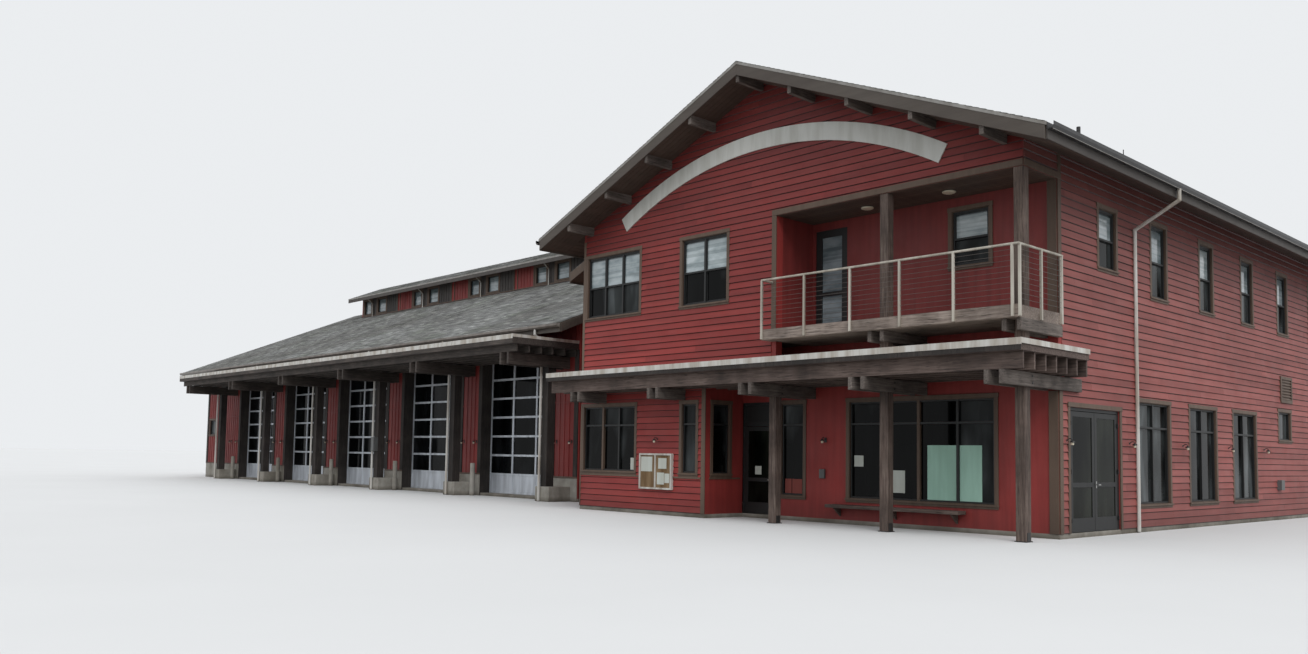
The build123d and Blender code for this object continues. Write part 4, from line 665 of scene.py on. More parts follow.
def window_casing(pile, face, a0, a1, z0, z1):
    """Flat casing boards with a thicker head and a sill that stands out."""
    left, right, sill_z = a0 - CASING, a1 + CASING, z0 - 18
    face.block(pile, left, a0, 0, CASING_T, z0, z1)
    face.block(pile, a1, right, 0, CASING_T, z0, z1, 0.45)
    face.block(pile, left - 5, right + 5, 0, CASING_T + 3, z1, z1 + CASING, 0.55)
    face.block(pile, left, right, 0, CASING_T, z0 - CASING, sill_z, 0.4)
    face.block(pile, left - 6, right + 6, 0, 2 * CASING_T, sill_z, z0, 0.6)
    a2, a3 = a0 + REVEAL, a1 - REVEAL
    for ring in ((a0, a2, z0, z1), (a3, a1, z0, z1), (a2, a3, z1 - REVEAL, z1), (a2, a3, z0, z0 + REVEAL)):
        face.block(pile, *ring[:2], *REVEAL_STANDS, *ring[2:], 0.4)


def window_sash(sash, casing, face, opening, kind, uprights, cross):
    """The frame round the glass, its uprights, and the transom or the sliding sashes."""
    a0, a1, z0, z1 = opening
    left, right, low, high = a0 + REVEAL, a1 - REVEAL, z0 + REVEAL, z1 - REVEAL
    face.block(sash, left, left + SASH_W, *FRAME_STANDS, low, high)
    face.block(sash, right - SASH_W, right, *FRAME_STANDS, low, high)
    for z in (high - SASH_W, low):
        face.block(sash, left + SASH_W, right - SASH_W, *FRAME_STANDS, z, z + SASH_W)
    for k, a in enumerate(uprights):
        # In a shop window with two or three uprights, all but the last are boards of the casing.
        wide = kind == SHOP and (k == 0 and len(uprights) > 1 or k == 1 and len(uprights) == 3)
        pile, half, stand = (casing, 16.0, -6) if wide else (sash, 13.0, -12)
        face.block(pile, a - half, a + half, FRAME_STANDS[0], stand, low, high)
    if cross is None:
        return
    rail = 11.0 if kind == SHOP else 9.0
    face.block(sash, left, right, *TRANSOM_STANDS, cross - rail, cross + rail)
    if kind == HUNG:
        edges = [left, *uprights, right]
        for start, end in zip(edges, edges[1:]):
            hung_sash(sash, face, start + 13, end - 13, cross, high - SASH_W, -34)
            hung_sash(sash, face, start + 13, end - 13, low + SASH_W, cross, -52)


def hung_sash(pile, face, a0, a1, z0, z1, depth):
    """The stiles and rails of one sliding sash."""
    w, front = 11.0, depth + 14
    a2, a3 = a0 + w, a1 - w
    for ring in ((a0, a2, z0, z1), (a3, a1, z0, z1), (a2, a3, z0, z0 + w + 3), (a2, a3, z1 - w, z1)):
        face.block(pile, *ring[:2], depth, front, *ring[2:], 0.6)


def sky_panes(pile, face, edges, low, high):
    """Thin panes in the upper sashes, with the painted shadow that the head casts on them."""
    shade = high - 26.0
    for left, right in zip(edges, edges[1:]):
        tone = rng.uniform(0.55, 0.95)
        face.block(pile, left + 12, right - 12, *PANE_STANDS, low, shade, tone)
        # the top strip is the painted shadow of the head
        face.block(pile, left + 12, right - 12, *PANE_STANDS, shade, high, 0.1)


# Wall boards

EXPOSURE = 74.0
LAP_T = 12.0
LAP_TAIL = 2.0
BUTT = 8.0  # height of a board's bevelled lower edge, painted as the shadow under the board
BOARD_L = 1850.0
SIDES = 4  # the last faces of a solid are its sides, and a board's lower edge is the first of them
JOINT = 1.5


def pieces_between(span0, span1, holes, z0, z1):
    """The stretches of a row that no hole takes, each as (left low, right low, left high, right high)."""
    blocked = sorted((h[0], h[1]) for h in holes if h[2] < z1 - 0.01 and h[3] > z0 + 0.01)
    start0, start1 = span0[0], span1[0]
    found = []
    for b0, b1 in blocked:
        if b0 > max(start0, start1):
            found.append((start0, min(b0, span0[1]), start1, min(b0, span1[1])))
        start0, start1 = max(start0, b1), max(start1, b1)
    if start0 < span0[1] or start1 < span1[1]:
        found.append((start0, span0[1], start1, span1[1]))
    return [p for p in found if max(p[1] - p[0], p[3] - p[2]) > 2]


def split_boards(piece, joints):
    """Cuts a stretch at the butt joints that fall well inside it."""
    left0, right0, left1, right1 = piece
    cuts = [j for j in joints if max(left0, left1) + 60 < j < min(right0, right1) - 60]
    for j in cuts:
        yield (left0, j - JOINT / 2, left1, j - JOINT / 2)
        left0 = left1 = j + JOINT / 2
    yield (left0, right0, left1, right1)


def lap_boards(pile, face, z_from, z_to, span, holes=()):
    """Rows of lapped boards over a wall face. span gives the wall's two ends at a height."""
    z = BASE + EXPOSURE * math.floor((z_from - BASE) / EXPOSURE)
    while z < z_to - 1:
        top = z + EXPOSURE
        low, high = max(z, z_from), min(top, z_to)
        levels = sorted({low, high} | {h for hole in holes for h in hole[2:4] if low < h < high})
        shift = rng.uniform(0, BOARD_L)
        wall0, wall1 = span(low)
        joints = [wall0 + shift + k * BOARD_L for k in range(-1, int((wall1 - wall0) / BOARD_L) + 2)]
        shades = {}
        for z0, z1 in zip(levels, levels[1:]):
            for piece in pieces_between(span(z0), span(z1), holes, z0, z1):
                for left0, right0, left1, right1 in split_boards(piece, joints):
                    key = sum(1 for j in joints if j < (left0 + right0) / 2)
                    tone = shades.setdefault(key, rng.uniform(0.2, 0.8))
                    out0 = LAP_T - (LAP_T - LAP_TAIL) * (z0 - z) / EXPOSURE
                    out1 = LAP_T - (LAP_T - LAP_TAIL) * (z1 - z) / EXPOSURE
                    edge_z = min(z0 + BUTT, z1 - 1) if z0 == low else z0
                    corners = ((left0, z0), (right0, z0), (right1, z1), (left1, z1))
                    back = [face.point(a, 0, h) for a, h in corners]
                    front = [face.point(left0, out0, edge_z), face.point(right0, out0, edge_z),
                             face.point(right1, out1, z1), face.point(left1, out1, z1)]
                    pile.solid(back, front, tone)
                    # A board's lower edge gets tone 0: a painted shadow under the board.
                    pile.tones[-SIDES] = 0.0 if z0 == low else tone
        z = top


def window_holes(face):
    """What the windows of a wall face take out of its boards."""
    for other, windows in window_list():
        if other is face:
            return [(a0 - CASING, a1 + CASING, z0 - CASING, z1 + CASING) for a0, a1, z0, z1, _, _ in windows]
    return []


def gable_span(left, right):
    """Wall ends under the two slopes of the main roof."""
    def span(z):
        reach = (main_under(MID) - z) / PITCH
        return (max(left, MID - reach), min(right, MID + reach))
    return span


def straight_span(left, right):
    return lambda z: (left, right)


DOOR_TRIM = (784.0, 1941.0, BASE, 1252.0)
VENT = (6843.0, 7312.0, 1530.0, 1880.0)
CORNER_W = 62.0
BALCONY_X = -2889.0
BELT_Z = SHOP_SILL - CASING
BELT_H = 20.0


def build_lap_siding():
    """Lap boards on every wall of the main block, and the belts and header that stand off them."""
    front, side, belts = Pile(), Pile(), Pile()
    header_top = LOGGIA_TOP + CORNER_W
    gable_z, eave_z = main_under(MID) - 2, main_under(0) - 4
    deck = (BALCONY_X, 10.0, 1936.0, header_top)
    porch = (BALCONY_X, 10.0, 0.0, CAN_TOP + 225)
    sill_band = (-MAIN_W, ENTRY_X, BELT_Z - 14, BELT_Z)
    holes = window_holes(FRONT)
    lap_boards(front, FRONT, CAN_TOP + 2, gable_z, gable_span(-MAIN_W + 44, 0), holes + [deck, porch])
    shop_span = straight_span(-MAIN_W + 22, ENTRY_X - CORNER_W)
    lap_boards(front, FRONT, BASE, CAN_TOP - 98, shop_span, holes + [sill_band])
    lap_boards(front, REAR, BASE, gable_z, gable_span(-MAIN_W, -2), window_holes(REAR))
    front.build("lap_boards_front", "lap_front")
    canopy_end = (0, 770, CAN_TOP - 245, CAN_TOP)
    joist_end = (0, 1002, 1346, 1472)
    holes = window_holes(RIGHT) + [DOOR_TRIM, VENT, canopy_end, joist_end]
    lap_boards(side, RIGHT, BASE, eave_z, straight_span(RECESS + CORNER_W, DEPTH), holes)
    lap_boards(side, RIGHT, header_top, eave_z, straight_span(0, RECESS + CORNER_W))
    RIGHT.block(belts, 0, RECESS + CORNER_W, 0, 14, LOGGIA_TOP + 1, header_top)
    FRONT.block(belts, -MAIN_W + 22, ENTRY_X - CORNER_W, 0, 20, BELT_Z - BELT_H, BELT_Z)
    ENTRY_SIDE.block(belts, 62, RECESS - 44, 0, 9, BELT_Z - BELT_H, BELT_Z)
    belts.build("header_and_belts", "trim", bevel=1.5)
    lap_boards(side, LEFT, BASE, eave_z, straight_span(0, LINK_Y), [(0, 4, CAN_TOP - 100, CAN_TOP)])
    side.build("lap_boards_side", "lap_side")


# Board-and-batten walls of the wing

BATTEN_PITCH = 118.0
BATTEN_HALF = 9
BATTEN_OUT = 13
STEM = 370.0
JAMB_W = 95.0  # dark boards on both edges of a pier
BAND_Z = 1480.0


def wing_height(face, a):
    """Underside of the wing roof over a point of a wing wall."""
    y = a if face.along == "y" else face.at
    return wing_top(y) - WING_ROOF_T - 4


def batten_wall(pile, face, a0, a1, holes=(), top=None):
    """Vertical boards with battens over their joints, and a flashing line across."""
    count = max(1, round((a1 - a0) / BATTEN_PITCH))
    pitch = (a1 - a0) / count
    for k in range(count):
        left, right = a0 + k * pitch, a0 + (k + 1) * pitch
        tone = rng.uniform(0.2, 0.8)
        board_top = top or min(wing_height(face, left), wing_height(face, right))
        for z0, z1 in upright_runs(left, right, holes, STEM, board_top):
            face.block(pile, left, right, 0, 5, z0, z1, tone)
    for k in range(1, count):
        a = a0 + k * pitch
        left, right = a - BATTEN_HALF, a + BATTEN_HALF
        for z0, z1 in upright_runs(left, right, holes, STEM, (top or wing_height(face, a)) - 4):
            face.block(pile, left, right, 5, BATTEN_OUT, z0, z1, rng.uniform(0.3, 0.7))
    for left, right in row_runs(a0, a1, holes, BAND_Z):
        face.block(pile, left, right, 4, 16, BAND_Z - 9, BAND_Z + 9, 0.3)


def upright_runs(left, right, holes, z0, z1):
    """The free stretches of an upright board between the holes that it meets."""
    runs = []
    for h in sorted((h for h in holes if h[0] < right - 1 and h[1] > left + 1), key=lambda h: h[2]):
        if h[2] > z0:
            runs.append((z0, h[2]))
        z0 = max(z0, h[3])
    if z1 > z0:
        runs.append((z0, z1))
    return runs


def row_runs(a0, a1, holes, z):
    """The free stretches of a level line between the holes that it meets."""
    runs = []
    for h in sorted(h for h in holes if h[2] < z < h[3]):
        if h[0] > a0:
            runs.append((a0, h[0]))
        a0 = max(a0, h[1])
    if a1 > a0:
        runs.append((a0, a1))
    return runs


def build_wing_walls():
    """Boards and battens on piers and walls, their dark jambs, door heads, sills and concrete stem."""
    battens, trim, stem, jambs = Pile(), Pile(), Pile(EVEN), Pile()
    half = PIER_W / 2
    door_y = edge("bay_doors", Y, 0)
    sill_z = STEM - 26
    for i in range(BAYS + 1):
        x = pier_x(i)
        left, right = x - half, min(x + half, WING_X1)
        if i == BAYS:
            left = WING_X0
        holes = window_holes(WING_FRONT)
        batten_wall(battens, WING_FRONT, left + JAMB_W, right - JAMB_W, holes, top=WING_CAN_LOW - 4)
        for a in (left, right - JAMB_W):
            WING_FRONT.block(jambs, a, a + JAMB_W, 0, 17, STEM, WING_CAN_LOW - 2)
        for x0, bay in ((x - half - 5, i < BAYS), (x + half, i > 0)):
            if bay:
                jambs.block(x0, x0 + 5, WING_Y - 17, door_y - 1, 0, BAY_DOOR_H)
        WING_FRONT.block(trim, left, right, 0, 18, sill_z, STEM, 0.35)
        WING_FRONT.block(stem, left, right, 0, 10, 0, sill_z)
    for i in range(BAYS):
        WING_FRONT.block(trim, bay_mid(i) - 948, bay_mid(i) + 948, 0, 14, BAY_DOOR_H, WING_CAN_LOW - 2, 0.3)
    batten_wall(battens, WING_FRONT, WING_X0, WING_X1, [(WING_X0 - 1, WING_X1 + 1, 0, WING_CAN_TOP + 2)])
    batten_wall(battens, WING_LEFT, WING_Y + 2, DEPTH, window_holes(WING_LEFT))
    batten_wall(battens, REAR, WING_X0, -MAIN_W - 2, window_holes(REAR))
    batten_wall(battens, LINK, WING_X1 + 2, -MAIN_W - 16)
    for face, a0, a1 in ((WING_LEFT, WING_Y, DEPTH), (REAR, WING_X0, -MAIN_W), (LINK, WING_X1, -MAIN_W)):
        face.block(stem, a0, a1, 0, 10, 0, STEM)
    battens.build("wing_boards_and_battens", "batten")
    trim.build("wing_trim", "trim", bevel=1.5)
    stem.build("wing_stem", "concrete", bevel=2.0)
    jambs.build("pier_jambs", "dark_post", bevel=2.0)


# The monitor's wall, beside a pier's middle: dark panels, the red panel and the uprights
MON_DARK = (-48, 228)
MON_WIDE_DARK = (743, 1277)
MON_RED = (1439, 1996)
MON_UPRIGHTS = (-520, -20, 200, 730, 1290, 1410, 2010)
MON_HEAD = 4735.0
MON_FOOT = 4500.0  # fascia boards above this height are the monitor's


def build_monitor():
    """Panels between the clerestory windows, with sills and casings."""
    red, dark, trim = Pile(), Pile(), Pile(EVEN)
    z0, z1 = wing_top(MON_Y) + 6, MON_HEAD
    for i in range(BAYS + 1):
        x = pier_x(i)
        panel_boards(dark, x + MON_DARK[0], x + MON_DARK[1], z0, z1)
        dark_from, dark_to = x + MON_WIDE_DARK[0], min(x + MON_WIDE_DARK[1], MON_X1)
        if dark_to > dark_from:
            panel_boards(dark, dark_from, dark_to, z0, z1)
        if i > 0:
            panel_boards(red, x + MON_RED[0], x + MON_RED[1], z0, z1)
        for a in [x + place for place in MON_UPRIGHTS]:
            if MON_X0 < a < MON_X1 - 20:
                CLERESTORY.block(trim, a, a + 24, 0, 15, z0, z1)
    CLERESTORY.block(trim, MON_X0, MON_X1, 0, 22, z0 - 4, z0 + 16, 0.4)
    CLERESTORY.block(trim, MON_X0, MON_X1, 0, 14, z1, z1 + 30, 0.4)
    red.build("monitor_red_panels", "batten")
    dark.build("monitor_dark_panels", "dark_panel")
    trim.build("monitor_trim", "trim", bevel=1.5)


def panel_boards(pile, a0, a1, z0, z1):
    count = round((a1 - a0) / BATTEN_PITCH)
    pitch = (a1 - a0) / count
    for k in range(count):
        CLERESTORY.block(pile, a0 + k * pitch, a0 + (k + 1) * pitch, 0, 6, z0, z1)
    for k in range(1, count):
        a = a0 + k * pitch
        CLERESTORY.block(pile, a - 8, a + 8, 6, BATTEN_OUT, z0, z1)


def bar(pile, points, radius, sides=8):
    """A round bar or pipe through points, each run closed at both ends."""
    for start, end in zip(points, points[1:]):
        low, high = Vector(start), Vector(end)
        axis = (high - low).normalized()
        u = axis.orthogonal().normalized() * radius
        v = axis.cross(u)
        turns = [2 * math.pi * k / sides for k in range(sides)]
        ring = [u * math.cos(t) + v * math.sin(t) for t in turns]
        past = axis * radius * 0.4
        pile.solid([tuple(low - past + p) for p in ring], [tuple(high + past + p) for p in ring])


MON_PIPE_R = 13.0


def build_monitor_pipes():
    """Downpipes from the monitor's eave to the wing roof, one at each pier but the first."""
    pipes = Pile(EVEN)
    wall_y, eave_y = MON_Y - 30, MON_ROOF_Y + 40
    bend_z, eave_z = MON_HEAD - 145, MON_HEAD - 23
    for i in range(1, BAYS + 1):
        x = pier_x(i) + 20
        bends = [(x, wall_y, wing_top(wall_y)), (x, wall_y, bend_z), (x + 70, eave_y, eave_z)]
        bar(pipes, bends, MON_PIPE_R)
    pipes.build("monitor_downpipes", "white_metal")


# Roofs

TAB_W = 152.0
TAB_EXPOSURE = 72.0
TAB_T = 5.0
RAKE_LAP = 23.0  # shingles over the rake boards
CAP_REACH = 62.0
CAP_T = 6.0
CAP_L = 150.0


def shingles(pile, eave, up, along, length, limits):
    """Rows of shingle tabs. eave is a point on the eave line at along 0, up the unit way up the slope,
    along the unit way along the eave; limits gives the two ends of a row at a distance up the slope."""
    normal = up.cross(along).normalized()
    if normal.z < 0:
        normal = -normal
    rows = int(length / TAB_EXPOSURE) + 1
    for r in range(rows):
        s0 = r * TAB_EXPOSURE
        s1 = min(s0 + TAB_EXPOSURE, length)
        if s1 - s0 < 5:
            continue
        for left, right in limits((s0 + s1) / 2):
            a = left - rng.uniform(0, TAB_W)
            while a < right:
                b = a + TAB_W * rng.uniform(0.75, 1.25)
                a0, a1 = max(a, left), min(b - 2.0, right)
                if a1 - a0 > 8:
                    tab(pile, eave, up, along, normal, a0, a1, s0 + rng.uniform(-4, 4), s1)
                a = b


def tab(pile, eave, up, along, normal, a0, a1, s0, s1):
    tone = min(1.0, max(0.0, rng.gauss(0.45, 0.2)))
    lift = TAB_T * rng.uniform(0.8, 1.3)
    s0 = max(s0, 0.0)
    base = [eave + along * a + up * s for a, s in ((a0, s0), (a1, s0), (a1, s1), (a0, s1))]
    heights = (lift, lift, 1.0, 1.0)
    top = [p + normal * h for p, h in zip(base, heights)]
    pile.solid([tuple(p) for p in base], [tuple(p) for p in top], tone)


def slope_shingles(pile, eave, inward, run, limits):
    """Shingles over a slope that rises from an eave point along the level way inward."""
    way = Vector(inward)
    along = Vector((0, 1, 0)) if way.x else Vector((1, 0, 0))
    shingles(pile, Vector(eave), (way + Vector((0, 0, PITCH))) / SLOPE, along, run * SLOPE, limits)


def build_roofs():
    run = MAIN_W / 2 + EAVE_OUT
    top_z = EAVE_Z + ROOF_T
    left_eave = -MAIN_W - EAVE_OUT
    drop = left_eave - CATSLIDE_X
    main = Pile()
    full = lambda s: [(ROOF_Y0 - RAKE_LAP, ROOF_Y1 + RAKE_LAP)]
    slope_shingles(main, (EAVE_OUT, 0, top_z), (-1, 0, 0), run, full)
    slope_shingles(main, (left_eave, 0, top_z), (1, 0, 0), run, full)
    slope_shingles(main, (CATSLIDE_X, 0, top_z - drop * PITCH), (1, 0, 0), drop, lambda s: [CATSLIDE_Y])
    main.build("main_shingles", "shingle")
    wing = Pile()
    for y, inward, limits in ((WING_EAVE_Y, 1, wing_limits_front),
                              (2 * WING_MID - WING_EAVE_Y, -1, wing_limits_back)):
        slope_shingles(wing, (0, y, WING_EAVE_TOP), (0, inward, 0), WING_MID - WING_EAVE_Y, limits)
    wing.build("wing_shingles", "shingle")
    monitor = Pile()
    mon_run = WING_MID - MON_ROOF_Y
    for y, inward in ((MON_ROOF_Y, 1), (2 * WING_MID - MON_ROOF_Y, -1)):
        mon_eave = (0, y, MON_TOP - PITCH * mon_run)
        slope_shingles(monitor, mon_eave, (0, inward, 0), mon_run, lambda s: [MON_ROOF_X])
    monitor.build("monitor_shingles", "shingle")
    caps = Pile()
    ridge_caps(caps, "y", MID, RIDGE_Z, ROOF_Y0 - RAKE_LAP, ROOF_Y1 + RAKE_LAP)
    ridge_caps(caps, "x", WING_MID, MON_TOP, *MON_ROOF_X)
    ridge_caps(caps, "x", WING_MID, wing_top(WING_MID), WING_ROOF_X0, MON_X0)
    caps.build("ridge_caps", "shingle")


def wing_end_x(y):
    """Where the wing roof's top meets the main roof, or ends beside it."""
    z = wing_top(y)
    if z < EAVE_Z + ROOF_T:
        return -MAIN_W - EAVE_OUT - 90
    return -MAIN_W - EAVE_OUT + (z - EAVE_Z - ROOF_T) / PITCH


def wing_limits_front(s):
    y = WING_EAVE_Y + s / SLOPE
    right = LOW_X1 if y < LINK_Y - 100 else wing_end_x(y)
    return wing_pieces(y, right)


def wing_limits_back(s):
    y = 2 * WING_MID - WING_EAVE_Y - s / SLOPE
    return wing_pieces(y, wing_end_x(y))


def wing_pieces(y, right):
    """A row of the wing roof, broken by the monitor."""
    if abs(y - WING_MID) > WING_MID - MON_Y:
        return [(WING_ROOF_X0, right)]
    return [(WING_ROOF_X0, MON_X0), (MON_X1, right)] if right > MON_X1 else [(WING_ROOF_X0, MON_X0)]


def ridge_caps(pile, along, at, z, a0, a1):
    """Overlapping caps along a ridge."""
    drop = CAP_REACH * PITCH
    under = [(-CAP_REACH, -drop), (0, 0), (CAP_REACH, -drop)]
    section = under + [(u, h + CAP_T) for u, h in reversed(under)]
    a = a0
    while a < a1 - 10:
        b = min(a + CAP_L, a1)
        if along == "y":
            low = [(at + u, a, z + h) for u, h in section]
            high = [(at + u, b, z + h - 4) for u, h in section]
        else:
            low = [(a, at + u, z + h) for u, h in section]
            high = [(b, at + u, z + h - 4) for u, h in section]
        pile.solid(low, high, min(1.0, max(0.0, rng.gauss(0.4, 0.2))))
        a = b


DRIP_H = 30.0
GUTTER_DOWN = 69.0  # from the roof's edge to the gutter's rim
DRIP_T = 3.0
SOFFIT_W = 62.0
SOFFIT_T = 6.0
SOFFIT_GAP = 4.0
EAVE_BOARDS, EAVE_PITCH = 6, 67
WING_BOARDS, WING_BOARD_PITCH, WING_BOARD_W = 7, 72, 67


def build_drip_edges():
    """Thin metal edges over the rake boards and along the monitor's front eave, and the gutter's pale rim."""
    metal = Pile(EVEN)
    for side in (1, -1):
        x0, x1 = MID, MID + side * (MAIN_W / 2 + EAVE_OUT + 18)
        z0, z1 = main_top(x0), main_top(x1)
        ring = [(x0, z0 - DRIP_H), (x1, z1 - DRIP_H), (x1, z1 + 2), (x0, z0 + 2)]
        for y in (ROOF_Y0 - 21, ROOF_Y1 + 18):
            metal.along_y(ring, y, y + DRIP_T)
    eave_z = MON_TOP - PITCH * (WING_MID - MON_ROOF_Y)
    metal.block(*MON_ROOF_X, MON_ROOF_Y - 14 - DRIP_T, MON_ROOF_Y - 14, eave_z - DRIP_H, eave_z + 2)
    gutter_x, gutter_z = edge("rainwater", X, 1), main_top(EAVE_OUT) - GUTTER_DOWN
    metal.block(gutter_x - 20, gutter_x - 17, ROOF_Y0, ROOF_Y1, gutter_z - 3, gutter_z + 4)
    metal.build("drip_edges", "drip")


def build_soffits():
    """Boards under the eaves and rakes, and a dark underside for the wing's eave."""
    boards = Pile()
    for side in (1, -1):
        for k in range(EAVE_BOARDS):
            inner = MAIN_W / 2 + SOFFIT_GAP + k * EAVE_PITCH
            outer = inner + SOFFIT_W
            x0, x1 = MID + side * inner, MID + side * outer
            z0, z1 = main_under(x0), main_under(x1)
            ring = [(x0, z0), (x1, z1), (x1, z1 - SOFFIT_T), (x0, z0 - SOFFIT_T)]
            boards.along_y(ring, 2.0, DEPTH)
        for y0, y1 in ((ROOF_Y0, -2.0), (DEPTH + 2, ROOF_Y1)):
            rake_boards(boards, side, y0, y1)
    y = 2.0
    while y < RECESS - 10:
        boards.block(LOGGIA_X + 2, -2, y, min(y + SOFFIT_W, RECESS - 2), LOGGIA_TOP - 5, LOGGIA_TOP)
        y += SOFFIT_W + SOFFIT_GAP
    boards.build("soffit_boards", "soffit")
    wing = Pile()
    for k in range(WING_BOARDS):
        y0 = WING_EAVE_Y + SOFFIT_GAP + k * WING_BOARD_PITCH
        y1 = min(y0 + WING_BOARD_W, WING_Y - 2)
        corners = ((y0, 0), (y1, 0), (y1, SOFFIT_T), (y0, SOFFIT_T))
        ring = [(y, wing_top(y) - WING_ROOF_T - down) for y, down in corners]
        wing.solid([(WING_ROOF_X0, y, z) for y, z in ring], [(LOW_X1, y, z) for y, z in ring])
    wing.build("wing_soffit_boards", "soffit")


def rake_boards(pile, side, y0, y1):
    """Soffit boards that run up under a rake."""
    count = 6
    pitch = (y1 - y0) / count
    inner, outer = MID, MID + side * (MAIN_W / 2 + EAVE_OUT - 3)
    z0, z1 = main_under(inner), main_under(outer)
    ring = [(inner, z0), (outer, z1), (outer, z1 - SOFFIT_T), (inner, z0 - SOFFIT_T)]
    for k in range(count):
        pile.along_y(ring, y0 + k * pitch, y0 + (k + 1) * pitch - SOFFIT_GAP)


# Timber, canopies, balcony

def at_wing(centre):
    return centre.x < -MAIN_W


def is_dark_fascia(centre):
    """The boards along the main eave on the right and round the monitor, which take the fascia's painted
    shade.
    """
    return centre.z > MON_FOOT or centre.x > EAVE_OUT - 5


def build_timber():
    dress("timber_posts", "front_posts", "post", 4.0)
    for node, name, bevel, front, wing in (("timber_beams", "paired_beams", 3.0, "beam", "wing_beam"),
                                           ("canopy_joists", "canopy_joist_row", 2.0, "joist", "dark_beam")):
        dress(node, name, front, bevel, keep=lambda c: not at_wing(c))
        dress(node, "wing_" + name, wing, bevel, keep=at_wing)
    dress("wing_posts", "wing_post_row", "dark_post", 4.0)
    dress("balcony_deck", "balcony_platform", "deck", 3.0)
    dress("canopy_roof", "front_canopy", "joist", 2.0)
    dress("wing_canopy", "wing_canopy_roof", "dark_beam", 2.0)
    dress("roof_outlookers", "rake_outlookers", "beam", 2.0)
    dress("roof_fascia", "fascia_boards", "fascia", 2.0, keep=lambda c: not is_dark_fascia(c))
    dress("roof_fascia", "dark_fascia_boards", "dark_fascia", 2.0, keep=is_dark_fascia)
    dress("trim_boards", "corner_boards", "trim", 2.0)
    dress("window_shelf", "window_bench", "joist", 2.0)
    dress("bollards", "bollard_row", "concrete", 2.0)
    dress("concrete_bases", "post_plinths", "concrete", 6.0)


BEAM_T = 45.0
BOLT_R = 11.0
BOLT_H = 5.0
BOLT_ROWS = (30, 92)  # over the beams' underside
FOOT_T = 8.0
FOOT_LIP = 9
CHEEK_T = 4
CHEEK_TOP = 84
HEXAGON = [k * math.pi / 3 for k in range(6)]


def build_bolts():
    """Bolt heads where the pairs of beams clamp the front posts, and the posts' steel feet."""
    heads = Pile(EVEN)
    low = edge("timber_beams", Z, 0)
    for i in range(3):
        x = -POST - i * POST_PITCH
        for z in [low + row for row in BOLT_ROWS]:
            ring = [(POST / 2 + BOLT_R * math.cos(t), z + BOLT_R * math.sin(t)) for t in HEXAGON]
            for x0 in (x - BEAM_T - BOLT_H, x + POST + BEAM_T):
                heads.solid([(x0, y, h) for y, h in ring], [(x0 + BOLT_H, y, h) for y, h in ring])
        heads.block(x - FOOT_LIP, x + POST + FOOT_LIP, -FOOT_LIP, POST + FOOT_LIP, 0, FOOT_T)
        for x0 in (x - CHEEK_T, x + POST):
            heads.block(x0, x0 + CHEEK_T, 18, POST - 18, FOOT_T, CHEEK_TOP)
    heads.build("bolts_and_feet", "dark_metal", bevel=0.8)


METAL_T = 3.0
METAL_H = 40.0
METAL_UP = 4.0  # over the boards
FRONT_DROP = 14.0  # the front edge reaches this much lower than the sides
WING_METAL_H = 62.0
SEAM = 9.0
CANOPY_SEAMS = (1300, 2700, 4050, 5400)  # from the canopy's left end
WING_SHEETS = 9


def build_canopy_edges():
    """White metal edge over both canopies, with seams, and a board under the front one's edge, painted dark
    as the shadow there.
    """
    metal, shadow_strip = Pile(EVEN), Pile()
    low, high = CAN_TOP - METAL_H, CAN_TOP + METAL_UP
    x0, x1 = CAN_X
    y0, y1 = CAN_Y
    metal.block(x0 - METAL_T, x1 + METAL_T, y0 - 5, y0, low - FRONT_DROP, high)
    metal.block(x1, x1 + METAL_T, y0, y1, low - 3, high)
    metal.block(x0 - METAL_T, x0, y0, 0, low - 3, high)
    # A thin board under the front edge in dark timber: the painted shadow of the metal edge above.
    shadow_strip.block(x0 + 2, x1 - 2, y0 - 2, y0, CAN_LOW + 1, low - FRONT_DROP)
    shadow_strip.build("canopy_front_shadow_strip", "dark_post", slot="timber")
    for x in [x0 + seam for seam in CANOPY_SEAMS]:
        metal.block(x - SEAM, x + SEAM, y0 - 4, y0 - METAL_T, low - 4, high + 1, 0.6)
    for sheet in ((x0, x1, y0, 0), (0, x1, 0, y1), (ENTRY_X, 0, 100, RECESS)):
        metal.block(*sheet, CAN_TOP, CAN_TOP + METAL_T)
    x0, x1 = WING_CAN_X
    y, top = WING_CAN_Y, WING_CAN_TOP
    low, high = top - WING_METAL_H, top + METAL_UP
    metal.block(x0 - METAL_T, x1 + METAL_T, y - METAL_T, y, low, high)
    for x in WING_CAN_X:
        metal.block(x - METAL_T, x + METAL_T, y, WING_Y, top - METAL_H, high)
    for k in range(1, WING_SHEETS):
        x = x0 + k * (x1 - x0) / WING_SHEETS
        metal.block(x - SEAM, x + SEAM, y - 4, y - METAL_T, low - 1, high + 1, 0.6)
    metal.build("canopy_metal_edges", "white_metal", bevel=0.8)


DECK_PITCH = 70
DECK_W = 66
DECK_T = 4
RAIL_R = 12.0
RAIL_POST = 22.0
RAIL_BAYS = 5
SIDE_RAIL_BAYS = 2
CORNER_GAP = 57.0  # between the last post in front and the first one on the side
CABLES = 10
CABLE_R = 1.9


def build_balcony():
    """Deck boards, and the rail's posts, top rail and thin cables."""
    boards = Pile()
    x0, x1 = ends("balcony_deck", X)
    y = edge("balcony_deck", Y, 0) + 3
    while y < -DECK_PITCH:
        boards.block(x0 + 2, x1 - 2, y, y + DECK_W, FLOOR_2, FLOOR_2 + DECK_T)
        y += DECK_PITCH
    boards.build("balcony_boards", "joist", bevel=1.0)
    build_rail()


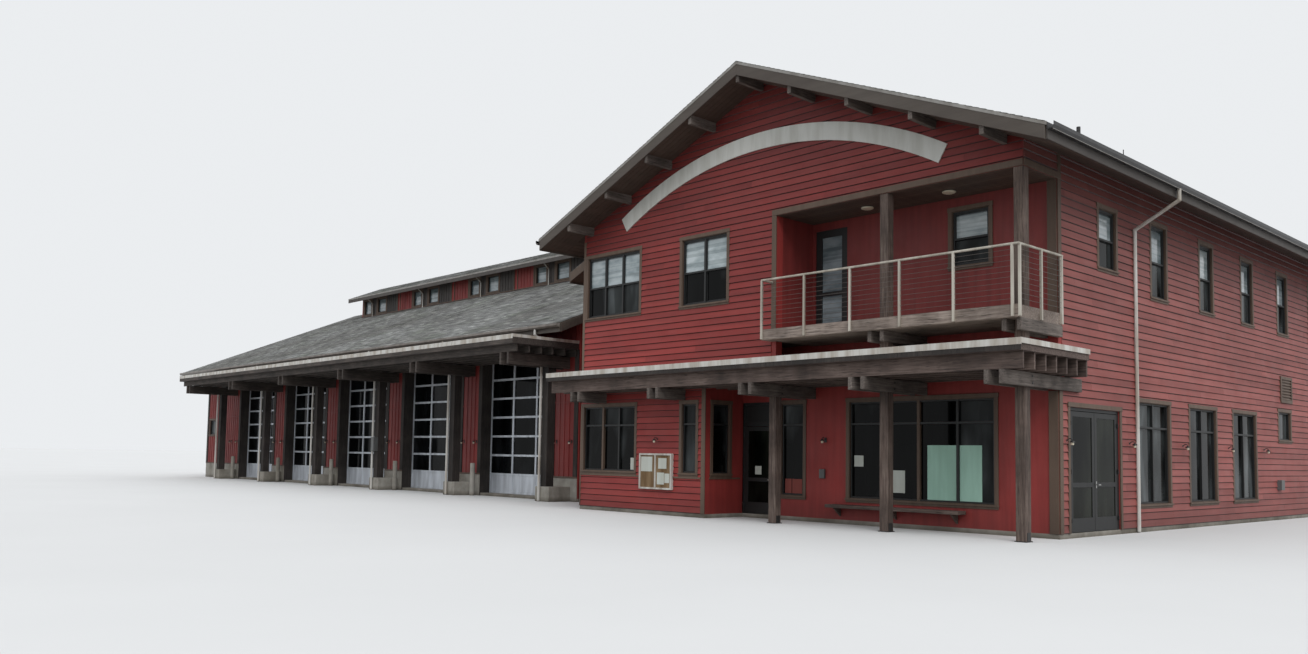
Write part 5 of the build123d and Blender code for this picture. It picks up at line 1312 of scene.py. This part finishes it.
def build_rail():
    """Square posts, a round top rail and stretched cables, in front and on the right."""
    rail, cables = Pile(EVEN), Pile(EVEN)
    half = RAIL_POST / 2
    x0, side_x = edge("balcony_rail", X, 0) + RAIL_R, edge("balcony_rail", X, 1) - RAIL_R
    front_y, back_y = edge("balcony_rail", Y, 0) + RAIL_R, RECESS - half
    z0, z1 = edge("balcony_rail", Z, 0), edge("balcony_rail", Z, 1) - RAIL_R
    x1, side_y = side_x - CORNER_GAP, front_y + RAIL_POST
    posts = [(x0 + i * (x1 - x0) / RAIL_BAYS, front_y) for i in range(RAIL_BAYS + 1)]
    posts += [(side_x, side_y + i * (back_y - side_y) / SIDE_RAIL_BAYS) for i in range(SIDE_RAIL_BAYS + 1)]
    for x, y in posts:
        rail.block(x - half, x + half, y - half, y + half, z0, z1)
    bar(rail, [(x0, -18, z1), (x0, front_y, z1), (side_x, front_y, z1), (side_x, RECESS, z1)], RAIL_R, 12)
    pitch = (z1 - FLOOR_2) / (CABLES + 1)
    for i in range(1, CABLES + 1):
        z = FLOOR_2 + i * pitch
        bar(cables, [(x0, front_y, z), (x1, front_y, z)], CABLE_R, 6)
        bar(cables, [(side_x, side_y, z), (side_x, back_y, z)], CABLE_R, 6)
    posts_and_rail = rail.build("balcony_posts_and_rail", "rail_metal", bevel=1.0)
    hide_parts("balcony_rail")
    cables.build("balcony_cables", "cable")


# Doors

JAMB = 30.0
STILE = 50.0
KICK = 130.0
LOCK_SHARE = 0.39
ENTRY_LEAF_W = 440.0
SIDE_LEAF_W = 499.0
BALCONY_DOOR_IN = 37.0
BALCONY_DOOR_W = 430.0
BALCONY_DOOR_DOWN = 90.0
LEAVES = {
    "entry_door": "entry_leaf",
    "side_door_left": "side_leaf_left",
    "side_door_right": "side_leaf_right",
}
ENTRY_TOP = 1053.0
SIDE_DOOR_TOP = 1172.0
LOCK_RAIL = 22.0  # half the height of the rail between a leaf's two panes
DOOR_HEAD = 44.0


def build_doors():
    """The leaves with their panes and levers, the frames, the bay doors and the side door's casing."""
    for node, body in LEAVES.items():
        dress(node, node + "_stiles", "sash", 1.2, body)
    for node in ("entry_lever", "side_lever"):
        paint(node, "steel")
    right = edge("entry_door", X, 1)
    leaf_panes("entry_panes", RECESSED, right - ENTRY_LEAF_W, right, ENTRY_TOP, "entry_leaf")
    low, high = edge("side_door_left", Y, 1), edge("side_door_right", Y, 0)
    leaf_panes("side_left_panes", RIGHT, low - SIDE_LEAF_W, low, SIDE_DOOR_TOP, "side_leaf_left")
    leaf_panes("side_right_panes", RIGHT, high, high + SIDE_LEAF_W, SIDE_DOOR_TOP, "side_leaf_right")
    build_balcony_panes()
    dress("door_frames", "door_frame_set", "sash", 1.0)
    dress("bay_doors", "bay_door_grilles", "door_metal", 1.5)
    paint("bay_glass", "door_glass")
    trim = Pile(EVEN)
    y0, y1, z0, z1 = DOOR_TRIM
    head = z1 - DOOR_HEAD
    RIGHT.block(trim, y0, y0 + CASING, 0, 14, z0, head)
    RIGHT.block(trim, y1 - CASING, y1, 0, 14, z0, head)
    RIGHT.block(trim, y0 - 5, y1 + 5, 0, 18, head, z1, 0.55)
    trim.build("side_door_casing", "trim", bevel=1.5)


def leaf_panes(name, face, a0, a1, top, body):
    """The two panes of a door leaf, on the thin sheet that the CAD leaf has there."""
    panes = Pile(EVEN)
    low, lock = BASE + 5, BASE + 5 + LOCK_SHARE * (top - BASE - 5)
    for z0, z1 in ((low + KICK, lock - LOCK_RAIL), (lock + LOCK_RAIL, top - STILE)):
        face.block(panes, a0 + STILE, a1 - STILE, -17, -15.5, z0, z1)
    panes.build(name, "pane_dark", body)


def build_balcony_panes():
    """The balcony door's two panes, pale with a painted reflection of the sky over the blind behind them."""
    panes = Pile()
    a0, top = LOGGIA_X + BALCONY_DOOR_IN, LOGGIA_TOP - BALCONY_DOOR_DOWN
    edge_w = JAMB + STILE
    lock = FLOOR_2 + LOCK_SHARE * (top - FLOOR_2)
    for z0, z1 in ((FLOOR_2 + KICK, lock - LOCK_RAIL), (lock + LOCK_RAIL, top - edge_w)):
        RECESSED.block(panes, a0 + edge_w, a0 + BALCONY_DOOR_W - edge_w, -29, -27, z0, z1, 0.35)
    panes.build("balcony_door_panes", "sky")


def paint(node, finish):
    """Gives a CAD node's own mesh its finish."""
    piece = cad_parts[node]
    piece.data.materials.clear()
    piece.data.materials.append(MATERIALS[finish])


# Fittings

def build_fittings():
    build_notice_board()
    dress("sign_board", "arched_sign", "sign", 1.5)
    dress("side_louvre", "wall_vent", "trim", 1.0)
    dress("wall_boxes", "service_boxes", "box_metal", 2.0)
    dress("roof_pipes", "vent_pipes", "dark_metal", 0.0)
    vent_top()
    build_lamps()
    build_sheets()
    for name, finish, keep in (("main_gutters", "gutter_metal", is_main_gutter),
                               ("wing_gutter", "wing_gutter", is_wing_gutter),
                               ("white_downpipes", "white_metal", is_downpipe)):
        dress("rainwater", name, finish, 0.0, keep=keep)


# The papers on the notice board: from, to, low and high, from its lower left corner
PAPERS = ((30, 225, 210, 385), (310, 430, 60, 200), (440, 520, 80, 190), (330, 470, 245, 370))
NOTICE_RIM = 22.0
CORK_Y = (-32, -30)
PAPER_Y = (-34, -32)


def build_notice_board():
    """The case, cork on both sides of its middle stile, and blank papers."""
    dress("notice_board", "notice_case", "white_metal", 2.0)
    x0, x1 = ends("notice_board", X)
    z0, z1 = ends("notice_board", Z)
    mid = (x0 + x1) / 2
    cork, sheets = Pile(EVEN), Pile()
    for left, right in ((x0 + NOTICE_RIM, mid - 10), (mid + 10, x1 - NOTICE_RIM)):
        cork.block(left, right, *CORK_Y, z0 + NOTICE_RIM, z1 - NOTICE_RIM)
    cork.build("notice_cork", "cork")
    for left, right, low, high in PAPERS:
        sheets.block(x0 + left, x0 + right, *PAPER_Y, z0 + low, z0 + high)
    sheets.build("notice_papers", "paper")


LAMP_Z = 885.0
LAMP_OUT = 60.0  # a lamp's axis off the wall
PLATES = ((17, (0, 5), 24, 28), (11, (5, 9), 16, 20))  # half width, from and to off the wall, below and above
ARM = ((6, 2), (18, 20), (34, 29), (50, 27), (58, 18), (LAMP_OUT, 8))  # the arm's bends, out and up
CAP = ((-8, 26), (2, 22), (7, 12), (11, 7))  # height and radius
JAR = ((-32, 9), (-28, 14), (-12, 15), (-7, 13))
PIER_LAMPS = (-185.0, 185.0)  # beside a pier's middle
SIDE_LAMPS = (760.0, 2120.0, 3500.0, 4900.0, 6150.0)
CEILING_LIGHTS = (-1900.0, -948.0)
CEILING_IN = -347.0  # the loggia's lights, in from the front


def turned(pile, face, a, stand, z, profile):
    """Stacked rounds on an upright axis; profile lists heights over z and radii."""
    turns = [k * math.pi / 6 for k in range(12)]
    rings = []
    for up, r in profile:
        rings.append([face.point(a + r * math.cos(t), stand + r * math.sin(t), z + up) for t in turns])
    for low, high in zip(rings, rings[1:]):
        pile.solid(low, high)


def bent_bar(pile, face, a, z, path, radius):
    """A round bar that stands off a wall along bends given as (out, up)."""
    rings = []
    for i, (out, up) in enumerate(path):
        out0, up0 = path[max(i - 1, 0)]
        out1, up1 = path[min(i + 1, len(path) - 1)]
        length = math.hypot(out1 - out0, up1 - up0)
        across_out, across_up = -(up1 - up0) / length, (out1 - out0) / length
        ring = []
        for k in range(8):
            c, s = radius * math.cos(k * math.pi / 4), radius * math.sin(k * math.pi / 4)
            ring.append(face.point(a + c, out + across_out * s, z + up + across_up * s))
        rings.append(ring)
    for low, high in zip(rings, rings[1:]):
        pile.solid(low, high)


def lamp_places():
    for i in range(BAYS + 1):
        for dx in PIER_LAMPS:
            yield WING_FRONT, pier_x(i) + dx, LAMP_Z
    yield FRONT, -4650.0, LAMP_Z
    yield RECESSED, -2640.0, LAMP_Z + 10
    for y in SIDE_LAMPS:
        yield RIGHT, y, LAMP_Z


def build_lamps():
    """Wall lamps with a bent arm, a cap and a glass jar, and the round lights of the loggia."""
    metal, jars = Pile(EVEN), Pile(EVEN)
    for face, a, z in lamp_places():
        for half, stands, below, above in PLATES:
            face.block(metal, a - half, a + half, *stands, z - below, z + above)
        bent_bar(metal, face, a, z, ARM, 4.5)
        turned(metal, face, a, LAMP_OUT, z, CAP)
        turned(jars, face, a, LAMP_OUT, z, JAR)
    for x in CEILING_LIGHTS:
        turned(metal, FRONT, x, CEILING_IN, LOGGIA_TOP, ((-8, 74), (0, 74)))
        turned(jars, FRONT, x, CEILING_IN, LOGGIA_TOP, ((-24, 48), (-18, 64), (-8, 66)))
    lamps = metal.build("lamp_metal", "dark_metal", bevel=0.6)
    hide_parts("wall_lamps")
    jars.build("lamp_jars", "lamp_glass")


VENT_PIPE = (-900.0, 3035.0, main_under(-900.0) + ROOF_T + 400.0)
VENT_R = 23.0
MAIN_GUTTER_Z = 3400.0  # the wing's gutter and the downpipes' middles lie below this height
VENT_RIM = 85.0
PANE = -37.0  # sheets lie against the panes, this far from the wall's face
# Blank sheets of the recess: finish, from, to, low, high
WALL_SHEETS = (
    ("green_sheet", -1390.0, -788.0, 290.0, 846.0),
    ("paper", -1821.0, -1654.0, 356.0, 586.0),
    ("paper", -2283.0, -2166.0, 617.0, 734.0),
    ("red_sheet", -3235.0, -3142.0, 300.0, 462.0),
    ("red_sheet", -3132.0, -2990.0, 300.0, 462.0),
)
FRONT_SHEET = (-5170.0, -5095.0, 520.0, 668.0)
DOOR_SHEET = (-3670.0, -3574.0, 500.0, 597.0)


def build_sheets():
    """The sheets behind the panes, all left blank."""
    for index, (finish, *place) in enumerate(WALL_SHEETS, 1):
        blank_sheet("blank_sheet_" + str(index), RECESSED, finish, place, PANE, 1.5)
    blank_sheet("blank_sheet_front", FRONT, "paper", FRONT_SHEET, PANE, 1.5)
    blank_sheet("blank_sheet_door", RECESSED, "paper", DOOR_SHEET, -15.5, 1.0, "entry_leaf")


def blank_sheet(name, face, finish, place, stand, thick, body=BODY):
    a0, a1, z0, z1 = place
    sheet = Pile(EVEN)
    face.block(sheet, a0, a1, stand, stand + thick, z0, z1)
    sheet.build(name, finish, body)


def vent_top():
    """The open rim of the wide vent pipe."""
    rim = Pile(EVEN)
    x, y, z = VENT_PIPE
    bar(rim, [(x, y, z - 20), (x, y, z + VENT_RIM)], VENT_R, 12)
    rim.build("vent_pipe_rim", "dark_metal")


def is_main_gutter(centre):
    return centre.z > MAIN_GUTTER_Z


def is_wing_gutter(centre):
    return at_wing(centre) and centre.z > WING_EAVE_TOP - 100


def is_downpipe(centre):
    return not is_main_gutter(centre) and not is_wing_gutter(centre)


# CAD nodes whose shape stays as it is, by finish
PLAIN_NODES = {
    "panel": ("front_wall", "entry_side_wall", "entry_wall_over_door", "recess_wall", "side_wall_front",
              "side_wall_over_door", "side_wall_rear", "rear_wall", "left_wall", "wing_front_wall",
              "wing_left_wall", "wing_rear_wall", "link_wall", "monitor_walls"),
    # the loggia's walls take the red with painted shade
    "loggia": ("loggia_walls",),
    "concrete": ("floor_slab",),
    "roof_deck": ("loggia_ceiling", "roof_left", "roof_right", "monitor_roof", "wing_roof_left",
                  "wing_roof_right", "wing_roof_front", "wing_roof_back"),
    "joist": ("upper_floor",),
}


def build_plain_nodes():
    for finish, nodes in PLAIN_NODES.items():
        for node in nodes:
            paint(node, finish)


# Stage, light and camera

def seen_rays(tree):
    """1 for rays that see the surroundings, straight or in metal and glass, and 0 for those that light."""
    rays = tree.nodes.new("ShaderNodeLightPath")
    total = rays.outputs["Is Camera Ray"]
    for name in ("Is Glossy Ray", "Is Transmission Ray"):
        node = tree.nodes.new("ShaderNodeMath")
        node.use_clamp = True
        tree.links.new(total, node.inputs[0])
        tree.links.new(rays.outputs[name], node.inputs[1])
        total = node.outputs[0]
    return total


FLOOR = 400.0  # metres from the middle to each edge


def build_stage():
    mesh = bpy.data.meshes.new("floor")
    corners = [(x * FLOOR, y * FLOOR, 0) for x, y in ((-1, -1), (1, -1), (1, 1), (-1, 1))]
    mesh.from_pydata(corners, [], [(0, 1, 2, 3)])
    floor = bpy.data.objects.new("floor", mesh)
    bpy.context.scene.collection.objects.link(floor)
    s = Shader("pale_floor", 0.9)
    pale = s.ramp(s.noise(0.4), (0.3, tint(214, 214, 213)), (0.7, tint(217, 217, 216)))
    s.colour(s.mix(tint(126, 124, 120), pale, seen_rays(s.tree)))
    floor.data.materials.append(s.material)


SKY_LIGHT, SKY_STRENGTH = (0.93, 0.96, 1.0, 1.0), 0.9
SKY_SEEN = (0.83, 0.85, 0.87, 1.0)
SUN_POWER = 1.5
SUN_SPREAD = math.radians(35)
SUN_WAY = Vector((-0.75, 0.45, -0.9))


def build_world():
    world = bpy.data.worlds.new("studio")
    bpy.context.scene.world = world
    world.use_nodes = True
    tree = world.node_tree
    background = tree.nodes["Background"]
    background.inputs["Color"].default_value = SKY_LIGHT
    background.inputs["Strength"].default_value = SKY_STRENGTH
    seen = tree.nodes.new("ShaderNodeBackground")
    seen.inputs["Color"].default_value = SKY_SEEN
    seen.inputs["Strength"].default_value = 1.0
    mix = tree.nodes.new("ShaderNodeMixShader")
    tree.links.new(seen_rays(tree), mix.inputs[0])
    tree.links.new(background.outputs[0], mix.inputs[1])
    tree.links.new(seen.outputs[0], mix.inputs[2])
    tree.links.new(mix.outputs[0], tree.nodes["World Output"].inputs["Surface"])


def build_light():
    light = bpy.data.lights.new("soft_key", "SUN")
    light.energy = SUN_POWER
    light.angle = SUN_SPREAD
    lamp = bpy.data.objects.new("soft_key", light)
    bpy.context.scene.collection.objects.link(lamp)
    lamp.rotation_euler = SUN_WAY.to_track_quat("-Z", "Y").to_euler()


# The camera stands where the photograph was taken from; the photograph's sizes are in its pixels.
CAMERA_AT = (4430.0, -8526.0, 687.0)
CAMERA_YAW = math.radians(-47.058)
CAMERA_PITCH = math.radians(3.883)
CAMERA_ROLL = math.radians(0.942)
FOCAL_PX = 1044.35
PHOTO_W, PHOTO_H = 1308.0, 654.0
CENTRE_V = 385.65
SENSOR = 36.0


def build_camera():
    flat = Vector((math.sin(CAMERA_YAW), math.cos(CAMERA_YAW), 0))
    side = Vector((math.cos(CAMERA_YAW), -math.sin(CAMERA_YAW), 0))
    up = Vector((0, 0, 1))
    forward = flat * math.cos(CAMERA_PITCH) + up * math.sin(CAMERA_PITCH)
    tilted = up * math.cos(CAMERA_PITCH) - flat * math.sin(CAMERA_PITCH)
    right = side * math.cos(CAMERA_ROLL) + tilted * math.sin(CAMERA_ROLL)
    top = tilted * math.cos(CAMERA_ROLL) - side * math.sin(CAMERA_ROLL)
    data = bpy.data.cameras.new("camera")
    data.sensor_fit = "HORIZONTAL"
    data.sensor_width = SENSOR
    data.lens = SENSOR * FOCAL_PX / PHOTO_W
    data.shift_y = (CENTRE_V - PHOTO_H / 2) / PHOTO_W
    data.clip_end = 1000.0
    camera = bpy.data.objects.new("camera", data)
    bpy.context.scene.collection.objects.link(camera)
    rotation = Matrix((right, top, -forward)).transposed()
    spot = CORNER + Vector(CAMERA_AT) * MM
    camera.matrix_world = Matrix.Translation(spot) @ rotation.to_4x4()
    bpy.context.scene.camera = camera


def main():
    bpy.context.scene.view_settings.view_transform = "Standard"
    build_camera()
    build_world()
    build_light()
    build_stage()
    build_plain_nodes()
    build_lap_siding()
    build_wing_walls()
    build_monitor()
    build_monitor_pipes()
    build_windows()
    build_roofs()
    build_drip_edges()
    build_soffits()
    build_timber()
    build_bolts()
    build_canopy_edges()
    build_balcony()
    build_doors()
    build_fittings()


main()
